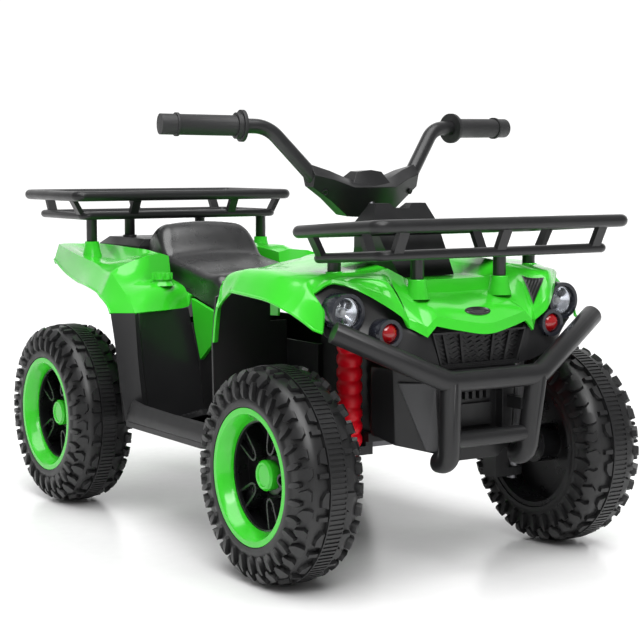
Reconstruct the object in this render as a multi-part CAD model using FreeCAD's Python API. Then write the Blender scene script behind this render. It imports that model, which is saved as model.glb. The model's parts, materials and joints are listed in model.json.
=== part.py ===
import FreeCAD
import Part
import math
import os

# A battery kids quad bike, built from its separate mouldings, tubes, axles and wheels.
# Millimetres, +Z up, front towards -Y, the rider's right side towards -X, floor at z = 0.

V = FreeCAD.Vector

# Wheels
WHEEL_RADIUS = 145.0
TYRE_WIDTH = 105.0
TYRE_PLANE = 237.5
BEAD_RADIUS = 92.0
TYRE_WALL = 8.0
TREAD_DEPTH = 7.0
BAND_WIDTH = 25.0
LUGS_PER_SIDE = 24
LUG_LENGTH = 17.0
RIM_WALL = 7.0
RIM_INSET = 6.5
RING_FACE = 47.2
RING_DEPTH = 21.0
RING_WALL = 4.0
HUB_RADIUS = 27.0
HUB_INNER = 40.0
HUB_OUTER = 10.0
SPOKE_PAIRS = 5
SPOKE_WIDTH = 6.0
SPOKE_SPREAD = 10.0
CAP_RADIUS = 20.5
CAP_LENGTH = 15.0

# Axles and fits
FRONT_AXLE_Y = -359.5
REAR_AXLE_Y = 293.9
AXLE_RADIUS = 6.0
AXLE_STICKOUT = 8.0
NUT_RADIUS = 10.0
NUT_HEIGHT = 6.0
RUN_FIT = 0.05
FIXED_FIT = 0.1
SIDE_PLAY = 0.3
AXLE_Z = 145.0

# Steering
KINGPIN_X = 160.0
KINGPIN_RADIUS = 4.0
BARREL_RADIUS = 13.0
ARM_LOW = AXLE_Z - 28.0
ARM_HIGH = AXLE_Z + 15.0
ARM_THICK = 12.0
ARM_RADIUS = 14.0
WEB_THICK = 24.0
WEB_GAP = 5.0
STEER_ARM = 60.0
STEER_ARM_WIDTH = 14.0
STEER_ARM_THICK = 8.0
STEER_ARM_DROP = 4.0
TIE_THICK = 8.0
TIE_WIDTH = 16.0
TIE_PIN_RADIUS = 4.0
RAKE = 22.5
COLUMN_RADIUS = 8.0
BALL_RADIUS = 5.0
BALL_PLAY = 1.5
CRANK_DROP = 22.0
COLUMN_LENGTH = 362.0
COLUMN_SADDLE = 12.0

# Chassis tub
TUB_HALF = 108.0
TUB_BOTTOM = 154.0
TUB_HEIGHT = 146.0
TUB_TOP = TUB_BOTTOM + TUB_HEIGHT
TUB_FRONT = -255.0
TUB_BACK = 205.0
TUB_WALL = 4.0
NOSE_HALF = 100.0
NOSE_FRONT = -400.0
NOSE_FLOOR = 186.0
NOSE_TOP = 330.0
TAIL_HALF = 60.0
TAIL_BACK = 420.0
TAIL_FLOOR = 124.0
TAIL_STEP = 30.0
TAIL_TOP = TUB_TOP + TAIL_STEP
BEAM_DEPTH = 41.0
BEAM_BOTTOM = 178.0
BEARING_Z = 234.0
BEARING_THICK = 8.0

# Drive and battery
MOTOR_RADIUS = 18.0
GEARBOX_INNER = 130.0
GEARBOX_OUTER = 190.0
MOTOR_OFFSET = 38.0
GEARBOX_HALF = 34.0
BATTERY_SIZE = (65.0, 151.0, 95.0)
BATTERY_Y = 30.0
CONTROL_SIZE = (90.0, 80.0, 30.0)
CONTROL_Y = -130.0

# Covers and panels
SHELL = 3.0
SEAM = 0.4
FLOOR_GAP = 0.25
BOSS_RADIUS = 12.0
SPLASH_Y = FRONT_AXLE_Y + 187.5
FOOT_HALF = 245.0
FOOT_FLOOR = 158.0
FOOT_THICK = 8.0
LIP_WIDTH = 12.0
LIP_FRONT = 28.0
LIP_BACK = 31.0
FOOT_BACK = 100.0
KNEE_THICK = 6.0
SPLASH_THICK = 4.0
SPLASH_INNER = 136.0
SPLASH_STEP = 328.0
FAIRING_Y = 69.0

# Seat and deck
SEAT_FRONT = 47.0
SEAT_HALF = 100.0
SEAT_LIFT = 22.0
SEAT_BASE = TUB_TOP + SEAT_LIFT
FAIRING_TOP = SEAT_BASE + 1.0
SEAT_SLOPE = 0.25
DECK_HALF = 97.0
DECK_FRONT = 320.0
DECK_BACK = 474.0
DECK_RISE = 78.0
DECK_HEIGHT = 24.0
DECK_BASE = SEAT_BASE + DECK_RISE
DECK_TOP = DECK_BASE + DECK_HEIGHT
DECK_BOSS = 4.0

# Racks
RING_TUBE = 8.5
BASE_TUBE = 6.5
RACK_HALF = 203.5
RACK_BASE_INSET = 19.0
RACK_CORNER = 12.0
RACK_POST = 9.0
POST_OUTER_X = 166.0
POST_INNER_X = 69.6
FRONT_RACK_BACK = -348.0
FRONT_RACK_FRONT = -540.0
FRONT_BASE_Z = 434.0
FRONT_RACK_RISE = 36.0
FRONT_RING_Z = FRONT_BASE_Z + FRONT_RACK_RISE
FRONT_POST_OUTER_Y = -383.6
FRONT_POST_INNER_Y = -437.0
FRONT_BOSS_OUTER = 412.0
FRONT_BOSS_INNER = 401.0
REAR_RACK_FRONT = 327.5
REAR_RACK_BACK = 540.0
REAR_RACK_LIFT = 40.0
REAR_RACK_RISE = 33.5
REAR_BASE_Z = DECK_TOP + REAR_RACK_LIFT
REAR_RING_Z = REAR_BASE_Z + REAR_RACK_RISE
REAR_POST_OUTER_Y = 359.0
REAR_POST_INNER_Y = 409.7
REAR_BOSS_RISE = 99.0
REAR_BOSS_OUTER = SEAT_BASE + REAR_BOSS_RISE
RACK_TILT = 4.0
CROSSBAR_WIDTH = 20.0
CROSSBAR_HEIGHT = 10.0
STRUT_OUTER_X = 164.0
STRUT_INNER_X = 95.0
STRUT_WIDTH = 15.0
STRUT_THICK = 8.0

# Front end
BUMPER_TUBE = 14.5
BUMPER_CROSS = 11.0
BUMPER_END = V(218.0, -461.0, 341.0)
BUMPER_BEND = V(76.0, -515.0, 273.0)
BUMPER_FOOT = V(65.0, -503.0, 163.0)
BUMPER_CROSS_Z = 194.0
BUMPER_TAIL_GAP = 3.0
STAY_HALF = 6.0
STAY_Z = 226.0
STAY_HEIGHT = 16.0
GUARD_FRONT = -478.0
GUARD_TOP = 284.0
GUARD_WAIST = 170.0
GUARD_SLOPE = 0.3
GUARD_BOTTOM = 160.0
GUARD_HALF = 118.0
WINDOW_HALF = 44.0
WINDOW_LOW = 198.0
WINDOW_HIGH = 270.0
WINDOW_DEPTH = 14.0
PAD_THICK = 5.0
HEADLIGHT = V(182.0, -436.0, 361.5)
HEADLIGHT_RADIUS = 20.5
INDICATOR = V(136.5, -466.0, 335.0)
INDICATOR_RADIUS = 13.5
BEZEL_WALL = 5.0
GRILLE_HALF = 79.0
GRILLE_TAPER = 14.0
GRILLE_TOP = 334.0
GRILLE_BOTTOM = 288.0
GRILLE_Y = -474.0
GRILLE_RIM = 3.0
GRILLE_DEPTH = 10.0
SHOCK_X = 125.0
SHOCK_RADIUS = 17.5
SHOCK_RIB = 2.4
SHOCK_RIBS = 8
SHOCK_TOP = 318.0

# Handlebar
BAR_RADIUS = 10.5
BAR_END = V(296.5, 58.8, 89.9)
BAR_BEND = V(146.0, 34.4, 87.9)
BAR_ENTRY = V(84.0, 9.4, 14.9)
BAR_CENTRE = V(30.0, -5.6, -11.1)
BAR_TURN = 45.0
GRIP_RADIUS = 14.5
GRIP_LENGTH = 123.0
GRIP_FLANGE = 22.5
GRIP_CAP = 7.0
COVER_HALF = 90.0
COVER_MIDDLE = 36.0
POD_RISE = 25.0

# Controls
PEDAL_SHIFT = 10.0
PEDAL_X = (TUB_HALF + FOOT_HALF - LIP_WIDTH) / 2 + PEDAL_SHIFT
PEDAL_WIDTH = 66.0
PEDAL_LENGTH = 92.0
PEDAL_Y = -20.0
PEDAL_PIVOT_Z = 168.0
PEDAL_TILT = 15.0
PEDAL_SHAFT = 4.0
EAR_WIDTH = 6.0
BUTTON_RADIUS = 9.0
SWITCH_SIZE = (12.0, 20.0, 9.0)
CONTROL_X = 40.0
SWITCH_PIN = 1.5
PIN_REACH = 2.0
HOOD_FLOOR = 398.5
COWL_GAP = 19.8
COWL_LOBE = 27.0

# Trim
VENT_CORNERS = ((115.0, -436.0, 399.0), (129.0, -457.0, 396.0), (108.0, -461.0, 363.0))
CAP_X = 150.0
CAP_Y = 136.0
CAP_RISE = 47.0
CAP_SEAT = SEAT_BASE + CAP_RISE


# Basic shapes

def box(x0, x1, y0, y1, z0, z1):
    return Part.makeBox(x1 - x0, y1 - y0, z1 - z0, V(x0, y0, z0))


def rod(start, end, radius):
    direction = end - start
    return Part.makeCylinder(radius, direction.Length, start, direction)


def ring_about_x(outline):
    """Turns a closed (x, radius) outline about the X axis."""
    points = [V(x, 0, r) for x, r in outline]
    face = Part.Face(Part.makePolygon(points + points[:1]))
    return face.revolve(V(0, 0, 0), V(1, 0, 0), 360)


def prism(points, direction):
    return Part.Face(Part.makePolygon(points + points[:1])).extrude(direction)


def mirrored(shape):
    return shape.mirror(V(0, 0, 0), V(1, 0, 0))


def pair(shape):
    return Part.makeCompound([shape, mirrored(shape)])


def flip(point):
    return V(-point.x, point.y, point.z)


def fused(shapes):
    return shapes[0].multiFuse(shapes[1:])


def rounded_path(points, bend, closed=False):
    """Straight runs joined by tangent arcs of one bend radius."""
    count = len(points)
    corners = range(count) if closed else range(1, count - 1)
    cuts = {}
    for i in corners:
        here = points[i]
        back = (points[i - 1] - here).normalize()
        ahead = (points[(i + 1) % count] - here).normalize()
        turn = math.pi - back.getAngle(ahead)
        reach = bend * math.tan(turn / 2)
        bisector = (back + ahead).normalize()
        middle = here + bisector * (bend / math.cos(turn / 2) - bend)
        cuts[i] = (here + back * reach, middle, here + ahead * reach)
    edges = []
    for i in range(count if closed else count - 1):
        j = (i + 1) % count
        start = cuts[i][2] if i in cuts else points[i]
        end = cuts[j][0] if j in cuts else points[j]
        edges.append(Part.LineSegment(start, end).toShape())
        if j in cuts:
            edges.append(Part.Arc(*cuts[j]).toShape())
    return Part.Wire(edges)


def tube(points, radius, bend, closed=False):
    path = rounded_path(points, bend, closed)
    first = path.Edges[0]
    start = first.valueAt(first.FirstParameter)
    heading = first.tangentAt(first.FirstParameter)
    profile = Part.Wire(Part.makeCircle(radius, start, heading))
    return path.makePipeShell([profile], True, False)


def bar(start, end, width, thick, across):
    """A flat bar between two points, with its width along across."""
    along = (end - start).normalize()
    normal = along.cross(across).normalize() * (thick / 2)
    side = across * (width / 2)
    corners = [start + side + normal, start - side + normal, start - side - normal, start + side - normal]
    return prism(corners, end - start)


def panel(rows, thickness):
    """A closed sheet moulding: a grid of outer points, thickened to the back of its faces."""
    outer = [[V(*p) for p in row] for row in rows]
    last_row = len(outer) - 1
    last_col = len(outer[0]) - 1

    def normal(i, j):
        across = outer[i][min(j + 1, last_col)] - outer[i][max(j - 1, 0)]
        along = outer[min(i + 1, last_row)][j] - outer[max(i - 1, 0)][j]
        return across.cross(along).normalize()

    inner = [[p - normal(i, j) * thickness for j, p in enumerate(row)] for i, row in enumerate(outer)]
    points = [p for row in outer for p in row] + [p for row in inner for p in row]
    width = last_col + 1
    offset = len(outer) * width
    facets = []

    def quad(a, b, c, d):
        facets.append((a, b, c))
        facets.append((a, c, d))

    for i in range(last_row):
        for j in range(last_col):
            a = i * width + j
            quad(a, a + 1, a + width + 1, a + width)
            quad(a + offset, a + width + offset, a + width + 1 + offset, a + 1 + offset)
    rim = [j for j in range(last_col)]
    rim += [i * width + last_col for i in range(last_row)]
    rim += [last_row * width + j for j in range(last_col, 0, -1)]
    rim += [i * width for i in range(last_row, 0, -1)]
    for k, a in enumerate(rim):
        b = rim[(k + 1) % len(rim)]
        quad(b, a, a + offset, b + offset)
    shell = Part.Shape()
    shell.makeShapeFromMesh((points, facets), 0.001)
    solid = Part.makeSolid(shell)
    if solid.Volume < 0:
        solid.reverse()
    return solid


def whole_row(half_row):
    """A row given from the centre line outwards, made whole by its mirror image."""
    left = [p for p in half_row]
    right = [(-x, y, z) for x, y, z in reversed(half_row) if x > 0]
    return right + left


# Wheel pieces, built on the left side about the X axis through the tyre's middle

def tyre():
    half = TYRE_WIDTH / 2
    tread = WHEEL_RADIUS - TREAD_DEPTH
    band = BAND_WIDTH / 2
    section = tread - BEAD_RADIUS
    side = [(half - 4.5, BEAD_RADIUS), (half - 2, BEAD_RADIUS + section * 0.26)]
    side += [(half - 0.6, BEAD_RADIUS + section * 0.52), (half - 4, BEAD_RADIUS + section * 0.8)]
    side += [(half - 12, tread - 1.5), (band, tread), (band, WHEEL_RADIUS)]
    hollow = [(half - TYRE_WALL - 4.5, BEAD_RADIUS), (half - TYRE_WALL, BEAD_RADIUS + section * 0.35)]
    hollow += [(half - TYRE_WALL - 6, tread - TYRE_WALL - 3)]
    outline = side + [(-x, r) for x, r in reversed(side)]
    outline += [(-x, r) for x, r in hollow]
    outline += hollow[::-1]
    carcass = ring_about_x(outline)
    top = WHEEL_RADIUS
    shoulder = [(half - 12, top - 1.2), (half - 1.5, tread - section * 0.15), (half, tread - section * 0.5)]
    shoulder += [(half - 3.5, tread - section * 0.52), (half - 6, tread - section * 0.2),
                 (half - 14, tread - 4)]
    starts = (band + 3, half - 22)
    lugs = []
    for k in range(LUGS_PER_SIDE):
        inner = starts[k % 2]
        block = [(inner, tread - 3), (inner, top - 0.5)] + shoulder
        for sign, phase in ((1, 0.0), (-1, 0.5)):
            points = [V(sign * x, -LUG_LENGTH / 2, r) for x, r in block]
            lug = prism(points, V(0, LUG_LENGTH, 0))
            lug.rotate(V(0, 0, 0), V(1, 0, 0), 360.0 * (k + phase) / LUGS_PER_SIDE)
            lugs.append(lug)
    return carcass.multiFuse(lugs)


def rim():
    outer = BEAD_RADIUS - FIXED_FIT
    inner = outer - RIM_WALL
    back = -TYRE_WIDTH / 2 + RIM_INSET
    front = RING_FACE - RING_DEPTH
    barrel = [(back, inner), (back, outer), (front, outer), (front, inner - 14), (front - 6, inner - 14)]
    barrel += [(front - 6, inner)]
    pieces = [ring_about_x(barrel)]
    pieces.append(Part.makeCylinder(inner + 1, 5, V(-8, 0, 0), V(1, 0, 0)))
    pieces.append(Part.makeCylinder(HUB_RADIUS, HUB_INNER + HUB_OUTER, V(-HUB_INNER, 0, 0), V(1, 0, 0)))
    for k in range(SPOKE_PAIRS):
        angle = 360.0 * k / SPOKE_PAIRS
        group = [box(-4, front - 4, y - SPOKE_WIDTH / 2, y + SPOKE_WIDTH / 2, HUB_RADIUS - 6, inner - 8)
                 for y in (-SPOKE_SPREAD, SPOKE_SPREAD)]
        group.append(Part.makeCylinder(SPOKE_SPREAD + 2, HUB_OUTER + 4, V(-4, 0, HUB_RADIUS + 8), V(1, 0, 0)))
        for spoke in group:
            spoke.rotate(V(0, 0, 0), V(1, 0, 0), angle)
            pieces.append(spoke)
    bore = Part.makeCylinder(AXLE_RADIUS + RUN_FIT, TYRE_WIDTH * 2, V(-TYRE_WIDTH, 0, 0), V(1, 0, 0))
    return fused(pieces).cut(bore)


def rim_ring():
    outer = BEAD_RADIUS - FIXED_FIT
    back = RING_FACE - RING_DEPTH
    mouth = outer - 2 * RING_WALL
    throat = outer - RIM_WALL - 14 + 2
    outline = [(RING_FACE, outer), (RING_FACE, mouth), (back, throat), (back, throat + RING_WALL)]
    outline += [(RING_FACE - RING_WALL, outer - RING_WALL), (RING_FACE - RING_WALL, outer)]
    return ring_about_x(outline)


def hub_cap():
    end = HUB_OUTER + CAP_LENGTH
    pocket = NUT_RADIUS + 3
    outline = [(HUB_OUTER, pocket), (HUB_OUTER, CAP_RADIUS), (end - 3, CAP_RADIUS), (end, CAP_RADIUS - 3)]
    outline += [(end, CAP_RADIUS - 6), (end - 1.5, CAP_RADIUS - 7), (end - 1.5, 0), (end - 5, 0),
                (end - 5, pocket)]
    return ring_about_x(outline)


# Steering pieces

def column_frame(along, back=0.0):
    """A point along the raked steering axis, measured from the crank's ball, and back from the axis."""
    rake = math.radians(RAKE)
    up = V(0, math.sin(rake), math.cos(rake))
    rear = V(0, math.cos(rake), -math.sin(rake))
    ball = V(0, FRONT_AXLE_Y + STEER_ARM, tie_middle_z())
    return ball - rear * STEER_ARM + up * along + rear * back


def column_at(z):
    """The point of the steering axis at a height."""
    return column_frame((z - column_frame(0).z) / math.cos(math.radians(RAKE)))


def steer_arm_z():
    return ARM_HIGH - SIDE_PLAY - STEER_ARM_DROP - STEER_ARM_THICK


def tie_middle_z():
    return steer_arm_z() + STEER_ARM_THICK + SIDE_PLAY + TIE_THICK / 2


def knuckle():
    arm_z = steer_arm_z()
    barrel = rod(V(KINGPIN_X, FRONT_AXLE_Y, ARM_LOW + SIDE_PLAY),
                 V(KINGPIN_X, FRONT_AXLE_Y, ARM_HIGH - SIDE_PLAY),
                 BARREL_RADIUS)
    hub_face = TYRE_PLANE - HUB_INNER
    axle_end = TYRE_PLANE + HUB_OUTER + AXLE_STICKOUT
    collar = rod(V(KINGPIN_X, FRONT_AXLE_Y, AXLE_Z), V(hub_face - SIDE_PLAY, FRONT_AXLE_Y, AXLE_Z),
                 AXLE_RADIUS + 5)
    spindle = rod(V(KINGPIN_X, FRONT_AXLE_Y, AXLE_Z), V(axle_end, FRONT_AXLE_Y, AXLE_Z), AXLE_RADIUS)
    half = STEER_ARM_WIDTH / 2
    eye_y = FRONT_AXLE_Y + STEER_ARM
    arm = box(KINGPIN_X - half, KINGPIN_X + half, FRONT_AXLE_Y, eye_y, arm_z, arm_z + STEER_ARM_THICK)
    eye = rod(V(KINGPIN_X, eye_y, arm_z), V(KINGPIN_X, eye_y, arm_z + STEER_ARM_THICK), half)
    body = fused([barrel, collar, spindle, arm, eye])
    pin_hole = rod(V(KINGPIN_X, FRONT_AXLE_Y, 0), V(KINGPIN_X, FRONT_AXLE_Y, NOSE_TOP),
                   KINGPIN_RADIUS + RUN_FIT)
    eye_hole = rod(V(KINGPIN_X, eye_y, 0), V(KINGPIN_X, eye_y, NOSE_TOP), TIE_PIN_RADIUS + RUN_FIT)
    return body.cut(pin_hole).cut(eye_hole)


def kingpin():
    low = ARM_LOW - ARM_THICK
    high = ARM_HIGH + ARM_THICK
    shaft = rod(V(KINGPIN_X, FRONT_AXLE_Y, low - 6), V(KINGPIN_X, FRONT_AXLE_Y, high), KINGPIN_RADIUS)
    head = rod(V(KINGPIN_X, FRONT_AXLE_Y, low - 6), V(KINGPIN_X, FRONT_AXLE_Y, low), KINGPIN_RADIUS + 3)
    return shaft.fuse(head)


def hex_nut(centre, height):
    """A nut on an axle along X, with its inner face at centre."""
    points = []
    for k in range(6):
        angle = math.radians(60 * k + 30)
        points.append(centre + V(0, NUT_RADIUS * math.cos(angle), NUT_RADIUS * math.sin(angle)))
    blank = prism(points, V(height, 0, 0))
    return blank.cut(rod(centre - V(1, 0, 0), centre + V(height + 1, 0, 0), AXLE_RADIUS))


def axle_nut(axle_y):
    return hex_nut(V(TYRE_PLANE + HUB_OUTER + SIDE_PLAY, axle_y, AXLE_Z), NUT_HEIGHT)


def tie_bar():
    y = FRONT_AXLE_Y + STEER_ARM
    z = tie_middle_z()
    low = z - TIE_THICK / 2
    half = TIE_WIDTH / 2
    beam = box(-KINGPIN_X, KINGPIN_X, y - half, y + half, low, low + TIE_THICK)
    pieces = [beam]
    for x in (-KINGPIN_X, KINGPIN_X):
        pieces.append(rod(V(x, y, low), V(x, y, low + TIE_THICK), half))
        pieces.append(rod(V(x, y, low - STEER_ARM_THICK - SIDE_PLAY), V(x, y, low + 1), TIE_PIN_RADIUS))
    socket = rod(V(0, y, low - 1), V(0, y, low + TIE_THICK + 1), BALL_RADIUS + BALL_PLAY)
    boss = rod(V(0, y, low), V(0, y, low + TIE_THICK), BALL_RADIUS + BALL_PLAY + 5)
    return fused(pieces + [boss]).cut(socket)


def steering_column():
    bottom = CRANK_DROP - 5
    shaft = rod(column_frame(bottom), column_frame(COLUMN_LENGTH - COLUMN_SADDLE), COLUMN_RADIUS)
    low = column_frame(CRANK_DROP)
    high = column_frame(CRANK_DROP, STEER_ARM)
    crank = bar(low, high, STEER_ARM_WIDTH, STEER_ARM_THICK, V(1, 0, 0))
    end = rod(column_frame(CRANK_DROP - STEER_ARM_THICK / 2, STEER_ARM),
              column_frame(CRANK_DROP + STEER_ARM_THICK / 2, STEER_ARM), STEER_ARM_WIDTH / 2)
    stem = rod(column_frame(0, STEER_ARM), high, BALL_RADIUS - 1.5)
    ball = Part.makeSphere(BALL_RADIUS, column_frame(0, STEER_ARM))
    return fused([shaft, crank, end, stem, ball]).cut(handlebar_tube(BAR_RADIUS + FIXED_FIT))


def handlebar_tube(radius):
    top = column_frame(COLUMN_LENGTH)
    half = [top + p for p in (BAR_CENTRE, BAR_ENTRY, BAR_BEND, BAR_END)]
    points = [flip(p) for p in reversed(half)] + half
    return tube(points, radius, BAR_TURN)


COVER_END = [(2.4, 20.9), (9.4, 33.9), (23.4, 29.9), (27.4, 15.9), (22.4, 5.9), (9.4, 2.9)]
COVER_CORE = [(-22.6, 1.9), (-5.6, 12.9), (20.4, 14.9), (30.4, -9.1), (24.4, -37.1), (2.4, -40.1)]


def handlebar_cover():
    """A winged moulding over the column's top: a deep middle, raised ends and a pod."""
    top = column_frame(COLUMN_LENGTH)
    wires = []
    for x, outline in ((-COVER_HALF, COVER_END), (-COVER_MIDDLE, COVER_CORE), (COVER_MIDDLE, COVER_CORE),
                       (COVER_HALF, COVER_END)):
        ring = [top + V(x, back, rise) for back, rise in outline]
        wires.append(Part.makePolygon(ring + ring[:1]))
    blank = Part.makeLoft(wires, True, True)
    rings = []
    for half, front, back, rise in ((32, -17.6, 20.4, 0), (23, -7.6, 13.4, POD_RISE)):
        ring = [top + V(-half, front, rise), top + V(half, front, rise), top + V(half, back, rise),
                top + V(-half, back, rise)]
        rings.append(Part.makePolygon(ring + ring[:1]))
    pod = Part.makeLoft(rings, True, True)
    column = rod(column_frame(0), column_frame(COLUMN_LENGTH - COLUMN_SADDLE), COLUMN_RADIUS + FIXED_FIT)
    return blank.fuse(pod).cut(handlebar_tube(BAR_RADIUS + FIXED_FIT)).cut(column)


def grip():
    direction = (BAR_END - BAR_BEND).normalize()
    tip = column_frame(COLUMN_LENGTH) + BAR_END
    start = tip - direction * (GRIP_LENGTH - GRIP_CAP)
    end = start + direction * GRIP_LENGTH
    sleeve = rod(start, end, GRIP_RADIUS)
    flange = rod(start, start + direction * 5, GRIP_FLANGE)
    collar = rod(start + direction * 5, start + direction * 12, GRIP_FLANGE - 4)
    knob = rod(end - direction * 26, end - direction * 22, GRIP_RADIUS + 2)
    bore = rod(start - direction, tip + direction * FIXED_FIT, BAR_RADIUS + FIXED_FIT)
    return fused([sleeve, flange, collar, knob]).cut(bore)


# Chassis and drive

def chassis_tub():
    wall = TUB_WALL
    beam_front = FRONT_AXLE_Y - BEAM_DEPTH / 2
    beam_back = FRONT_AXLE_Y + BEAM_DEPTH / 2
    floor_top = NOSE_FLOOR + wall
    main = box(-TUB_HALF, TUB_HALF, TUB_FRONT, TUB_BACK, TUB_BOTTOM, TUB_TOP)
    tail = box(-TAIL_HALF, TAIL_HALF, TUB_BACK - wall, TAIL_BACK, TAIL_FLOOR, TAIL_TOP)
    nose = box(-NOSE_HALF, NOSE_HALF, NOSE_FRONT, TUB_FRONT + wall, NOSE_FLOOR, NOSE_TOP)
    solids = [main, tail, nose]
    body = fused(solids)
    body = body.cut(box(-TUB_HALF + wall, TUB_HALF - wall, TUB_FRONT + wall, TUB_BACK - wall,
                        TUB_BOTTOM + wall, TAIL_TOP + 1))
    body = body.cut(box(-TAIL_HALF + wall, TAIL_HALF - wall, TUB_BACK - 2 * wall, TAIL_BACK - wall,
                        TAIL_FLOOR + wall, TAIL_TOP + 1))
    body = body.cut(box(-NOSE_HALF + wall, NOSE_HALF - wall, NOSE_FRONT + wall, TUB_FRONT, floor_top,
                        NOSE_TOP + 1))
    passage = min(NOSE_HALF, TUB_HALF) - 2 * wall
    body = body.cut(box(-passage, passage, TUB_FRONT - 1, TUB_FRONT + 2 * wall, floor_top + wall,
                        TUB_TOP - wall))
    beam_half = SHOCK_X - SHOCK_RADIUS
    extras = [box(-beam_half, beam_half, beam_front, beam_back, BEAM_BOTTOM, floor_top)]
    web_outer = KINGPIN_X - BARREL_RADIUS - WEB_GAP
    web_inner = web_outer - WEB_THICK
    arm_bottom = ARM_LOW - ARM_THICK
    arm_top = ARM_HIGH + ARM_THICK
    root = NOSE_HALF - wall
    brackets = [(root, KINGPIN_X, ARM_HIGH, arm_top), (root, beam_half, ARM_HIGH, floor_top),
                (web_inner, web_outer, arm_bottom, arm_top), (web_inner, KINGPIN_X, arm_bottom, ARM_LOW),
                (root, SHOCK_X + SHOCK_RADIUS, SHOCK_TOP, NOSE_TOP)]
    for side in (-1, 1):
        for near, far, low, high in brackets:
            inner, outer = sorted((side * near, side * far))
            extras.append(box(inner, outer, FRONT_AXLE_Y - ARM_RADIUS, FRONT_AXLE_Y + ARM_RADIUS, low, high))
        for low in (arm_bottom, ARM_HIGH):
            foot = V(side * KINGPIN_X, FRONT_AXLE_Y, low)
            extras.append(rod(foot, foot + V(0, 0, ARM_THICK), ARM_RADIUS))
    for level in (BEARING_Z, NOSE_TOP):
        bridge_y = column_at(level).y
        extras.append(box(-NOSE_HALF + 1, NOSE_HALF - 1, bridge_y - 24, bridge_y + 20, level - BEARING_THICK,
                          level))
    body = body.multiFuse(extras)
    slot_half = STEER_ARM * math.sin(math.radians(RAKE)) + STEER_ARM_WIDTH + 8
    body = body.cut(box(-slot_half, slot_half, FRONT_AXLE_Y - 12, FRONT_AXLE_Y + STEER_ARM + 25,
                        BEAM_BOTTOM - 1, floor_top + 1))
    body = body.cut(rod(column_frame(CRANK_DROP), column_frame(COLUMN_LENGTH), COLUMN_RADIUS + RUN_FIT))
    for side in (-1, 1):
        body = body.cut(rod(V(side * KINGPIN_X, FRONT_AXLE_Y, 0),
                            V(side * KINGPIN_X, FRONT_AXLE_Y, NOSE_FLOOR),
                            KINGPIN_RADIUS + FIXED_FIT))
    axle = rod(V(-TYRE_PLANE, REAR_AXLE_Y, AXLE_Z), V(TYRE_PLANE, REAR_AXLE_Y, AXLE_Z),
               AXLE_RADIUS + FIXED_FIT)
    return body.cut(axle)


def gearbox():
    body = rod(V(GEARBOX_INNER, REAR_AXLE_Y, AXLE_Z), V(GEARBOX_OUTER, REAR_AXLE_Y, AXLE_Z), GEARBOX_HALF)
    lobe_y = REAR_AXLE_Y + MOTOR_OFFSET
    lobe = rod(V(GEARBOX_INNER, lobe_y, AXLE_Z), V(GEARBOX_OUTER - 20, lobe_y, AXLE_Z), MOTOR_RADIUS + 4)
    web = box(GEARBOX_INNER, GEARBOX_OUTER - 20, REAR_AXLE_Y, lobe_y, AXLE_Z - MOTOR_RADIUS,
              AXLE_Z + MOTOR_RADIUS)
    sleeve = rod(V(TAIL_HALF, REAR_AXLE_Y, AXLE_Z), V(GEARBOX_INNER, REAR_AXLE_Y, AXLE_Z), AXLE_RADIUS + 6)
    nose = rod(V(GEARBOX_OUTER, REAR_AXLE_Y, AXLE_Z),
               V(TYRE_PLANE - HUB_INNER - SIDE_PLAY, REAR_AXLE_Y, AXLE_Z), AXLE_RADIUS + 8)
    axle = rod(V(0, REAR_AXLE_Y, AXLE_Z), V(TYRE_PLANE, REAR_AXLE_Y, AXLE_Z), AXLE_RADIUS + FIXED_FIT)
    return fused([body, lobe, web, sleeve, nose]).cut(axle)


def drive_motor():
    y = REAR_AXLE_Y + MOTOR_OFFSET
    can = rod(V(TAIL_HALF + 2, y, AXLE_Z), V(GEARBOX_INNER, y, AXLE_Z), MOTOR_RADIUS)
    tail = rod(V(TAIL_HALF, y, AXLE_Z), V(TAIL_HALF + 2, y, AXLE_Z), MOTOR_RADIUS - 10)
    return can.fuse(tail)


def rear_axle():
    end = TYRE_PLANE + HUB_OUTER + AXLE_STICKOUT
    return rod(V(-end, REAR_AXLE_Y, AXLE_Z), V(end, REAR_AXLE_Y, AXLE_Z), AXLE_RADIUS)


def battery():
    width, length, height = BATTERY_SIZE
    base = TUB_BOTTOM + TUB_WALL
    case = box(-width / 2, width / 2, BATTERY_Y, BATTERY_Y + length, base, base + height)
    posts = [box(x - 4, x + 4, BATTERY_Y + 8, BATTERY_Y + 16, base + height,
                 base + height + 6) for x in (-20, 20)]
    return fused([case] + posts)


def control_box():
    width, length, height = CONTROL_SIZE
    base = TUB_BOTTOM + TUB_WALL
    return box(-width / 2, width / 2, CONTROL_Y, CONTROL_Y + length, base, base + height)


def shock():
    """A dummy shock absorber with rounded ribs from its lower arm to its bracket."""
    bottom = ARM_HIGH + ARM_THICK
    pitch = (SHOCK_TOP - bottom) / SHOCK_RIBS
    core = SHOCK_RADIUS - SHOCK_RIB
    circles = []
    for k in range(SHOCK_RIBS):
        z = bottom + k * pitch
        for step, radius in ((0.0, core), (0.3, SHOCK_RADIUS), (0.7, SHOCK_RADIUS), (0.95, core)):
            circles.append(Part.Wire(Part.makeCircle(radius, V(SHOCK_X, FRONT_AXLE_Y, z + step * pitch))))
    circles.append(Part.Wire(Part.makeCircle(core, V(SHOCK_X, FRONT_AXLE_Y, SHOCK_TOP))))
    return Part.makeLoft(circles, True, True)


# Covers

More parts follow.
